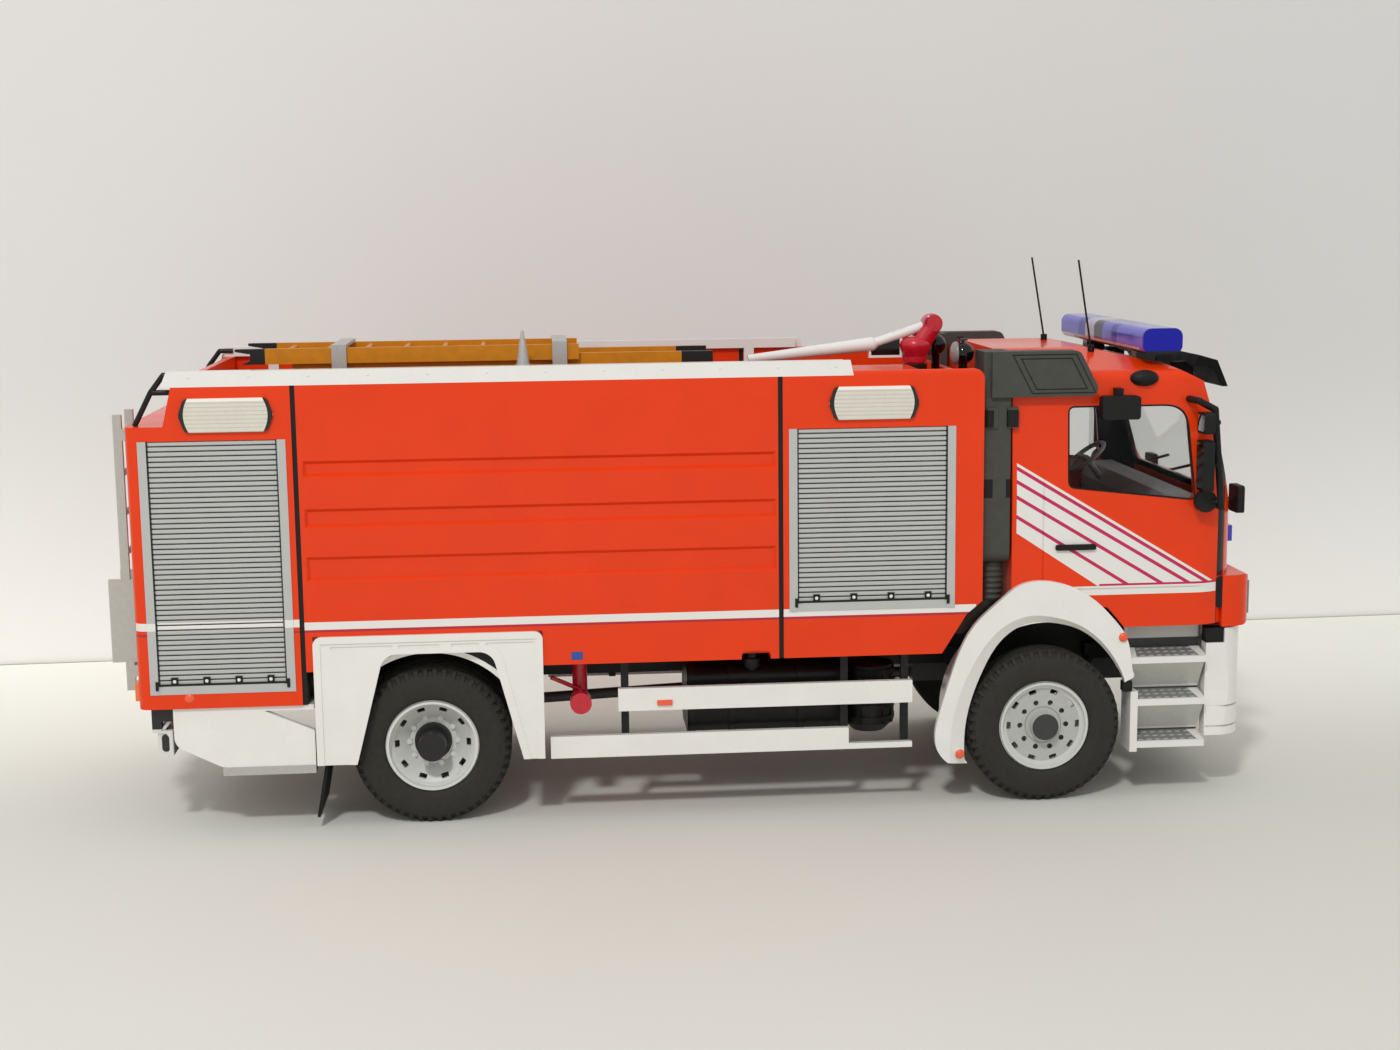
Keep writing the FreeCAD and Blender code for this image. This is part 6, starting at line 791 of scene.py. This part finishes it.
def piece(name, surface, material, body="vehicle", sharp=35.0, replaces=()):
    """Mesh object from a surface in millimetres: doubles merged, faces outwards, edges sharp by angle."""
    points, faces = surface
    mesh = bpy.data.meshes.new(name)
    mesh.from_pydata((np.asarray(points) * MM).tolist(), [], faces.tolist())
    shell = bmesh.new()
    shell.from_mesh(mesh)
    bmesh.ops.remove_doubles(shell, verts=shell.verts, dist=MERGE_DISTANCE)
    bmesh.ops.recalc_face_normals(shell, faces=shell.faces)
    shell.to_mesh(mesh)
    shell.free()
    mesh.shade_smooth()
    mesh.set_sharp_from_angle(angle=np.radians(sharp))
    mesh.materials.append(material)
    made = bpy.data.objects.new(name, mesh)
    bpy.context.scene.collection.objects.link(made)
    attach(made, body)
    for old in replaces:
        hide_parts(old)
    print(name, len(mesh.polygons), "faces")


# %% [markdown]
# The tyres are soft black rubber rings with a plain side wall and a row of notches between the tread
# blocks on the outer shoulder. Each is a section turned about the axle. Where the section reaches the
# shoulder, its radius drops once in each pitch round the wheel, and that gives the notches.

# %% Tyres
NOTCHES = 50
NOTCH_DEPTH = 0.5
NOTCH_SHARE = (0.3, 0.7)
SHOULDER_DEPTH = (0.31, 1.47)
SHOULDER_RADIUS = 11.4
OUTER_FACE_Y = 28.0
TWIN_GAP = 0.9
TYRE_SECTION = np.array([
    (7.32, 1.1), (7.36, 0.62), (7.62, 0.3), (8.2, 0.1), (9.2, 0.02), (10.2, 0.05), (10.9, 0.16),
    (11.35, 0.3), (11.42, 0.32), (11.9, 0.55), (12.2, 0.8), (12.36, 1.1), (12.4, 1.45), (12.4, 1.5),
    (12.4, 2.05), (12.12, 2.07), (12.12, 2.27), (12.4, 2.29), (12.4, 2.9)])


def tyre(axle_x, outer_y, width, steps, notched):
    """Tyre ring: half section, its mirror image in the tread's middle, then a turn about the axle.

    Each point is (radius, depth from the outer face). Points of the shoulder lose the notch's depth
    of radius in the middle share of each pitch.
    """
    far = TYRE_SECTION[::-1] * (1, -1) + (0, width)
    section = np.concatenate([TYRE_SECTION, far])
    angle = np.linspace(0, 2 * np.pi, steps, endpoint=False)
    radius = np.repeat(section[:, :1], steps, axis=1)
    if notched:
        share = (angle * NOTCHES / (2 * np.pi)) % 1
        notch = ((share > NOTCH_SHARE[0]) & (share < NOTCH_SHARE[1])).astype(float)
        shoulder = ((section[:, 1] > SHOULDER_DEPTH[0]) & (section[:, 1] < SHOULDER_DEPTH[1])
                    & (section[:, 0] > SHOULDER_RADIUS)).astype(float)
        radius = radius - NOTCH_DEPTH * shoulder[:, None] * notch[None]
    points = np.stack([axle_x + radius * np.cos(angle), np.repeat(outer_y - section[:, 1:], steps, axis=1),
                       AXLE_Z + radius * np.sin(angle)], axis=-1)
    return points.reshape(-1, 3), quads(len(section), steps, wrap_rows=True)


for end, axle_x, widths in (("front", FRONT_AXLE_X, (6.6,)), ("rear", REAR_AXLE_X, (6.0, 6.0))):
    rings = [tyre(axle_x, OUTER_FACE_Y, widths[0], steps=300, notched=True)]
    if len(widths) > 1:
        inner_y = OUTER_FACE_Y - widths[0] - TWIN_GAP
        rings.append(tyre(axle_x, inner_y, widths[1], steps=120, notched=False))
    for side, sign in (("left", 1), ("right", -1)):
        points, faces = joined(*rings)
        wheel = end + "_" + side
        piece("tyre_rubber_" + wheel, (points * (1, sign, 1), faces), tyre_rubber,
              "wheel_" + wheel, sharp=38.0, replaces=("tyre_" + wheel,))

# %% [markdown]
# Small lenses, lugs and rivets are the details that tell the scale of a model. They are copies of one
# tiny turned or cut shape with few faces, laid on the CAD part that carries them. The lugs on the
# steps are worn to the bare silver, so they are brighter than the plate that they stand on.

# %% Treads on the steps
STAIR_TOPS = (23.3, 16.35, 9.4)
STAIR_FRONT_Y = 28.0
STAIR_SLOPE = 0.2
LUG_SINK = 0.1
LUG_SHAPE = (1.05, 0.42, 1.0)
lug_points, lug_faces = lathe([(0.0, 0.14), (0.3, 0.12), (0.5, 0.0), (0.0, 0.0)], axis="z", steps=8)
lug = (lug_points * LUG_SHAPE, lug_faces)
along, across = np.meshgrid(np.linspace(72.0, 80.3, 7), np.linspace(27.1, 24.5, 3), indexing="ij")
fall = STAIR_SLOPE * (STAIR_FRONT_Y - across) - LUG_SINK
spots = np.concatenate([np.stack([along, across, top + fall], axis=-1).reshape(-1, 3) for top in STAIR_TOPS])
lug_silver = finish("worn_silver_lug_paint", "#B4B4AF", roughness=0.35, speckle=0.06, grain=0.5, metallic=0.2)
piece("step_lugs", both_sides(scattered(lug, spots)), lug_silver)

# %% Orange side markers


def rectangle(low, high, reach):
    """Outline of a rectangle with soft corners, from its lowest and highest corner."""
    (a0, b0), (a1, b1) = low, high
    return soft_outline([(a0, b0), (a1, b0), (a1, b1), (a0, b1)], reach)


ROUND_LENS = [(0.0, 0.32), (0.3, 0.3), (0.55, 0.22), (0.72, 0.06), (0.76, 0.0), (0.0, 0.0)]
ROUND_MARKERS = ((42.0, 28.75, 8.6), (68.28, 28.75, 26.88), (-78.2, 29.5, 21.7))
domes = [lathe(ROUND_LENS, place, "y", 24) for place in ROUND_MARKERS]
piece("side_markers_round", both_sides(joined(*domes)), amber_lens)
flat_lens = plate(rectangle((-6.3, 18.1), (-3.9, 19.0), 0.2), 28.6, 0.25)
piece("side_markers_flat", both_sides(flat_lens), amber_lens)

# %% Blank plates
sign_blue = finish("blue_blank_plate_print", "#2B4E9A", roughness=0.4, speckle=0.04, grain=1.0)
sign_white = finish("white_blank_plate_print", "#DDDCD6", roughness=0.4, speckle=0.03, grain=1.0)
blue_plate = plate(rectangle((-19.6, 26.0), (-17.8, 27.3), 0.15), 29.42, 0.12, edge=0.04)
piece("blank_plate_blue", both_sides(blue_plate), sign_blue)
front_plate = plate(rectangle((-6.0, 20.0), (6.0, 22.4), 0.3), 89.2, 0.2, "x")
piece("blank_number_plate_front", front_plate, sign_white)

# %% Rivets on the roof rail
rivet = lathe([(0.0, 0.16), (0.14, 0.13), (0.24, 0.0), (0.0, 0.0)], axis="y", steps=10)
rail_spots = [(x, 29.48, 70.95) for x in np.arange(-76.0, 22.0, 8.9)]
piece("rail_rivets", both_sides(scattered(rivet, rail_spots)), white_enamel)

# %% [markdown]
# The side windows sit in black rubber. A thin round cord follows the opening's outline, and leans in
# with the cab's side above the belt line.

# %% Window rubbers
WINDOW = [(59.3, 51.0), (79.8, 48.6), (78.3, 63.7), (59.3, 63.7)]
WINDOW_CORNERS = (1.0, 1.0, 3.6, 1.0)
BELT_Z = 50.5
BELT_Y = 27.42
LEAN = 1.1 / 18.5
RUBBER_RADIUS = 0.16
RUBBER_POINTS = 160
edge = soft_outline(WINDOW, WINDOW_CORNERS, 9)
long_way = np.concatenate([edge, edge[:1]])
spacing = np.concatenate([[0], np.cumsum(np.linalg.norm(np.diff(long_way, axis=0), axis=1))])
even = np.linspace(0, spacing[-1], RUBBER_POINTS, endpoint=False)
edge = np.stack([np.interp(even, spacing, long_way[:, i]) for i in (0, 1)], axis=-1)
leaning_y = BELT_Y - np.clip(edge[:, 1] - BELT_Z, 0, None) * LEAN
rubber = tube(np.stack([edge[:, 0], leaning_y, edge[:, 1]], axis=-1), RUBBER_RADIUS, closed=True)
piece("window_rubbers", both_sides(rubber), black_rubber)

# %% Mirror glass
MIRROR_Y = (28.95, 32.05)
PANES_Z = ((50.9, 58.0), (59.85, 62.45))
mirror_silver = finish("vacuum_silvered_mirror", "#D5D8DA", roughness=0.05, speckle=0.02, grain=2.0,
                       metallic=1.0)
panes = [plate(rectangle((MIRROR_Y[0], low), (MIRROR_Y[1], high), 0.5), 79.36, 0.14, "x", 0.05)
         for low, high in PANES_Z]
piece("mirror_panes", both_sides(joined(*panes)), mirror_silver)

# %% Latches at the foot of each side shutter
LATCHES = 4
LATCH_Y = 29.66
LATCH_RISE = 0.65
dot = lathe([(0.0, 0.1), (0.2, 0.09), (0.28, 0.0), (0.0, 0.0)], axis="y", steps=8)
latch_spots = [(x, LATCH_Y, foot + LATCH_RISE) for rear, front, foot, pitch in SIDE_SHUTTERS
               for x in rear + (front - rear) * (np.arange(LATCHES) + 0.5) / LATCHES]
piece("latch_dots", both_sides(scattered(dot, latch_spots)), white_enamel)

# %% Struts of the rear bar, and the catches behind the steps
strut = tube([(-82.9, 27.4, 16.3), (-81.7, 27.4, 17.9), (-80.4, 27.4, 20.0)], 0.32, 10)
piece("rear_struts", both_sides(strut), white_enamel)
catch = plate(rectangle((68.5, 17.8), (70.1, 19.6), 0.3), 26.9, 1.3)
piece("step_catches", both_sides(catch), matt_black)

# %% [markdown]
# Each searchlight looks forward and ends in a bowed lens of clear, slightly pink resin. A pin with a
# short cross bar stands on it. The lens is a quarter ellipse turned about the lamp's own axis.

# %% Searchlight lenses and pins
SEARCHLIGHTS_Y = (-22.2, -0.6)
LIGHT_X = 43.3
LIGHT_Z = 72.1
LENS_RADIUS = 1.85
LENS_BOW = 0.85
PIN_X = 42.7
lens_grey = finish("pinkish_clear_lens", "#A09391", roughness=0.15, speckle=0.05, grain=1.0,
                   transmission_weight=0.3, ior=1.49, coat_weight=0.2)
bow = np.linspace(0, np.pi / 2, 10)
lens = np.stack([LENS_RADIUS * np.sin(bow), -1.2 - LENS_BOW * np.cos(bow)], axis=-1)
lens = np.concatenate([lens, [(LENS_RADIUS, -1.0), (0.0, -1.0)]])
lenses = [lathe(lens, (LIGHT_X, y, LIGHT_Z), "x", 28) for y in SEARCHLIGHTS_Y]
piece("searchlight_lenses", joined(*lenses), lens_grey)
pins = [tube([(PIN_X, y, 73.6), (PIN_X, y, 74.1), (PIN_X, y, 74.6)], 0.13) for y in SEARCHLIGHTS_Y]
pins += [tube([(42.2, y, 74.7), (PIN_X, y, 74.7), (43.3, y, 74.7)], 0.14) for y in SEARCHLIGHTS_Y]
piece("searchlight_pins", joined(*pins), gloss_black)

# %% [markdown]
# The cannon's turning head is a thick casting that gets wider to its top. It is turned about the
# cannon's upright axis, so it stays clear when the cannon turns. The ring about the tilt pin is cast
# in clear red resin, which gives it the pink edge against the wall.

# %% Cannon head
CANNON_FOOT = (38.9, -5.0, 0.0)
TILT_PIN = (41.7, -5.0, 75.9)
HEAD_PROFILE = [(0.0, 68.6), (1.7, 68.6), (1.75, 69.6), (1.95, 70.4), (2.35, 71.2), (2.6, 71.9),
                (2.68, 72.5), (2.5, 73.1), (2.05, 73.5), (1.3, 73.75), (0.0, 73.8)]
PIN_RING_SECTION = [(1.35, -1.5), (1.62, -1.35), (1.7, 0.0), (1.62, 1.35), (1.35, 1.5), (1.2, 0.0)]
ROUND = 40
head = lathe(HEAD_PROFILE, CANNON_FOOT, "z", ROUND)
piece("cannon_head_casting", head, crimson, "cannon_turning")
red_resin = finish("clear_red_resin", "#D8405E", roughness=0.2, speckle=0.05, grain=1.0,
                   transmission_weight=0.25, ior=1.4, coat_weight=0.2)
ring_points, open_faces = lathe(PIN_RING_SECTION, TILT_PIN, "y", ROUND)
pin_ring = (ring_points, quads(len(PIN_RING_SECTION), ROUND, wrap_rows=True))
piece("cannon_pin_ring", pin_ring, red_resin, "cannon_turning")

# %% [markdown]
# The model stands on a pale sheet with a pale wall behind it. Both are plain paper, a little uneven,
# and a smooth change of tint along them stands for the fall of light that a small studio has.

# %% Floor and wall
STAGE_REACH = 900.0
WALL_LEFT = (-STAGE_REACH, 71.0)
WALL_RIGHT = (STAGE_REACH, 133.0)
WALL_SLOPE = (WALL_RIGHT[1] - WALL_LEFT[1]) / (2 * STAGE_REACH)
PICTURE_X = (-160.0, 160.0)
FLOOR_Y = (-40.0, 84.0)
WALL_Z = (0.0, 70.0)
CORNER_SHADE_BAND = (101.3, 102.2)


def faded(tree, shade, value, span, factors):
    """Tint that changes with a value: one factor at each end of the span, and smooth between."""
    factor = node(tree, "MapRange", {0: value, 1: span[0], 2: span[1], 3: factors[0], 4: factors[1]},
                  interpolation_type="SMOOTHSTEP")
    return node(tree, "VectorMath", {0: shade, "Scale": factor.outputs[0]}, operation="SCALE").outputs[0]


def floor_tones(tree, shade, x, y, z):
    """Floor that gets lighter to the wall and to the left, with a thin line of painted shade where it meets
    the wall.
    """
    shade = faded(tree, shade, y, FLOOR_Y, (0.72, 1.0))
    shade = faded(tree, shade, x, PICTURE_X, (1.06, 0.97))
    line = node(tree, "Math", {0: x, 1: -WALL_SLOPE, 2: y}, operation="MULTIPLY_ADD").outputs[0]
    # Painted shade: a thin dark line in the corner of floor and wall.
    return painted(tree, shade, "#A5A299", between(tree, line, *CORNER_SHADE_BAND))


def wall_tones(tree, shade, x, y, z):
    """Wall that is lightest at its foot and a little darker to the right."""
    shade = faded(tree, shade, z, WALL_Z, (1.0, 0.82))
    return faded(tree, shade, x, PICTURE_X, (1.03, 0.96))


def stage_sheet(name, corners, material):
    """One flat quad of the stage from four corners in millimetres."""
    mesh = bpy.data.meshes.new(name)
    mesh.from_pydata((np.array(corners, float) * MM).tolist(), [], [(0, 1, 2, 3)])
    mesh.materials.append(material)
    sheet = bpy.data.objects.new(name, mesh)
    bpy.context.scene.collection.objects.link(sheet)


floor_paper = finish("pale_floor_paper", "#FCFBF1", roughness=0.85, speckle=0.01, grain=60.0,
                     pattern=floor_tones)
wall_paper = finish("pale_wall_paper", "#F6F4F1", roughness=0.9, speckle=0.01, grain=90.0, pattern=wall_tones)
# The wall is there for rays that meet its face, and clear for rays that come from behind it. So it
# fills the background of the picture, and a camera at the back of the model still sees the model.
wall_tree = wall_paper.node_tree
geometry = node(wall_tree, "NewGeometry")
clear = node(wall_tree, "BsdfTransparent")
one_way = node(wall_tree, "MixShader", {0: geometry.outputs["Backfacing"],
                                        1: wall_tree.nodes["Principled BSDF"].outputs[0],
                                        2: clear.outputs[0]})
wall_tree.links.new(one_way.outputs[0], wall_tree.nodes["Material Output"].inputs["Surface"])
stage_sheet("stage_floor", [(-STAGE_REACH, -STAGE_REACH, 0), (STAGE_REACH, -STAGE_REACH, 0),
                            (*WALL_RIGHT, 0), (*WALL_LEFT, 0)], floor_paper)
stage_sheet("stage_wall", [(*WALL_LEFT, 0), (*WALL_RIGHT, 0), (*WALL_RIGHT, STAGE_REACH),
                           (*WALL_LEFT, STAGE_REACH)], wall_paper)
print("wall slope", round(WALL_SLOPE, 4))

# %% [markdown]
# The light is soft from all round, and one lamp high on the camera's side throws the shadow that the
# photograph shows under the model. The lamp is small, so the shadow's edge is fairly sharp.

# %% Light
WORLD_COLOUR = (0.97, 0.985, 1.0, 1.0)
WORLD_STRENGTH = 0.69
LAMP_PLACE = Vector((-160, -560, 600))
LAMP_TARGET = Vector((0, 0, 20))
LAMP_SIZE = 70
LAMP_POWER = 2.4
world = bpy.data.worlds.new("soft_room")
world.use_nodes = True
world.node_tree.nodes["Background"].inputs["Color"].default_value = WORLD_COLOUR
world.node_tree.nodes["Background"].inputs["Strength"].default_value = WORLD_STRENGTH
bpy.context.scene.world = world

lamp_data = bpy.data.lights.new("key_lamp", "AREA")
lamp_data.size = LAMP_SIZE * MM
lamp_data.energy = LAMP_POWER
lamp = bpy.data.objects.new("key_lamp", lamp_data)
facing = (LAMP_PLACE - LAMP_TARGET).to_track_quat("Z", "Y").to_matrix().to_4x4()
lamp.matrix_world = Matrix.Translation(LAMP_PLACE * MM) @ facing
bpy.context.scene.collection.objects.link(lamp)
print("stage and light ready")
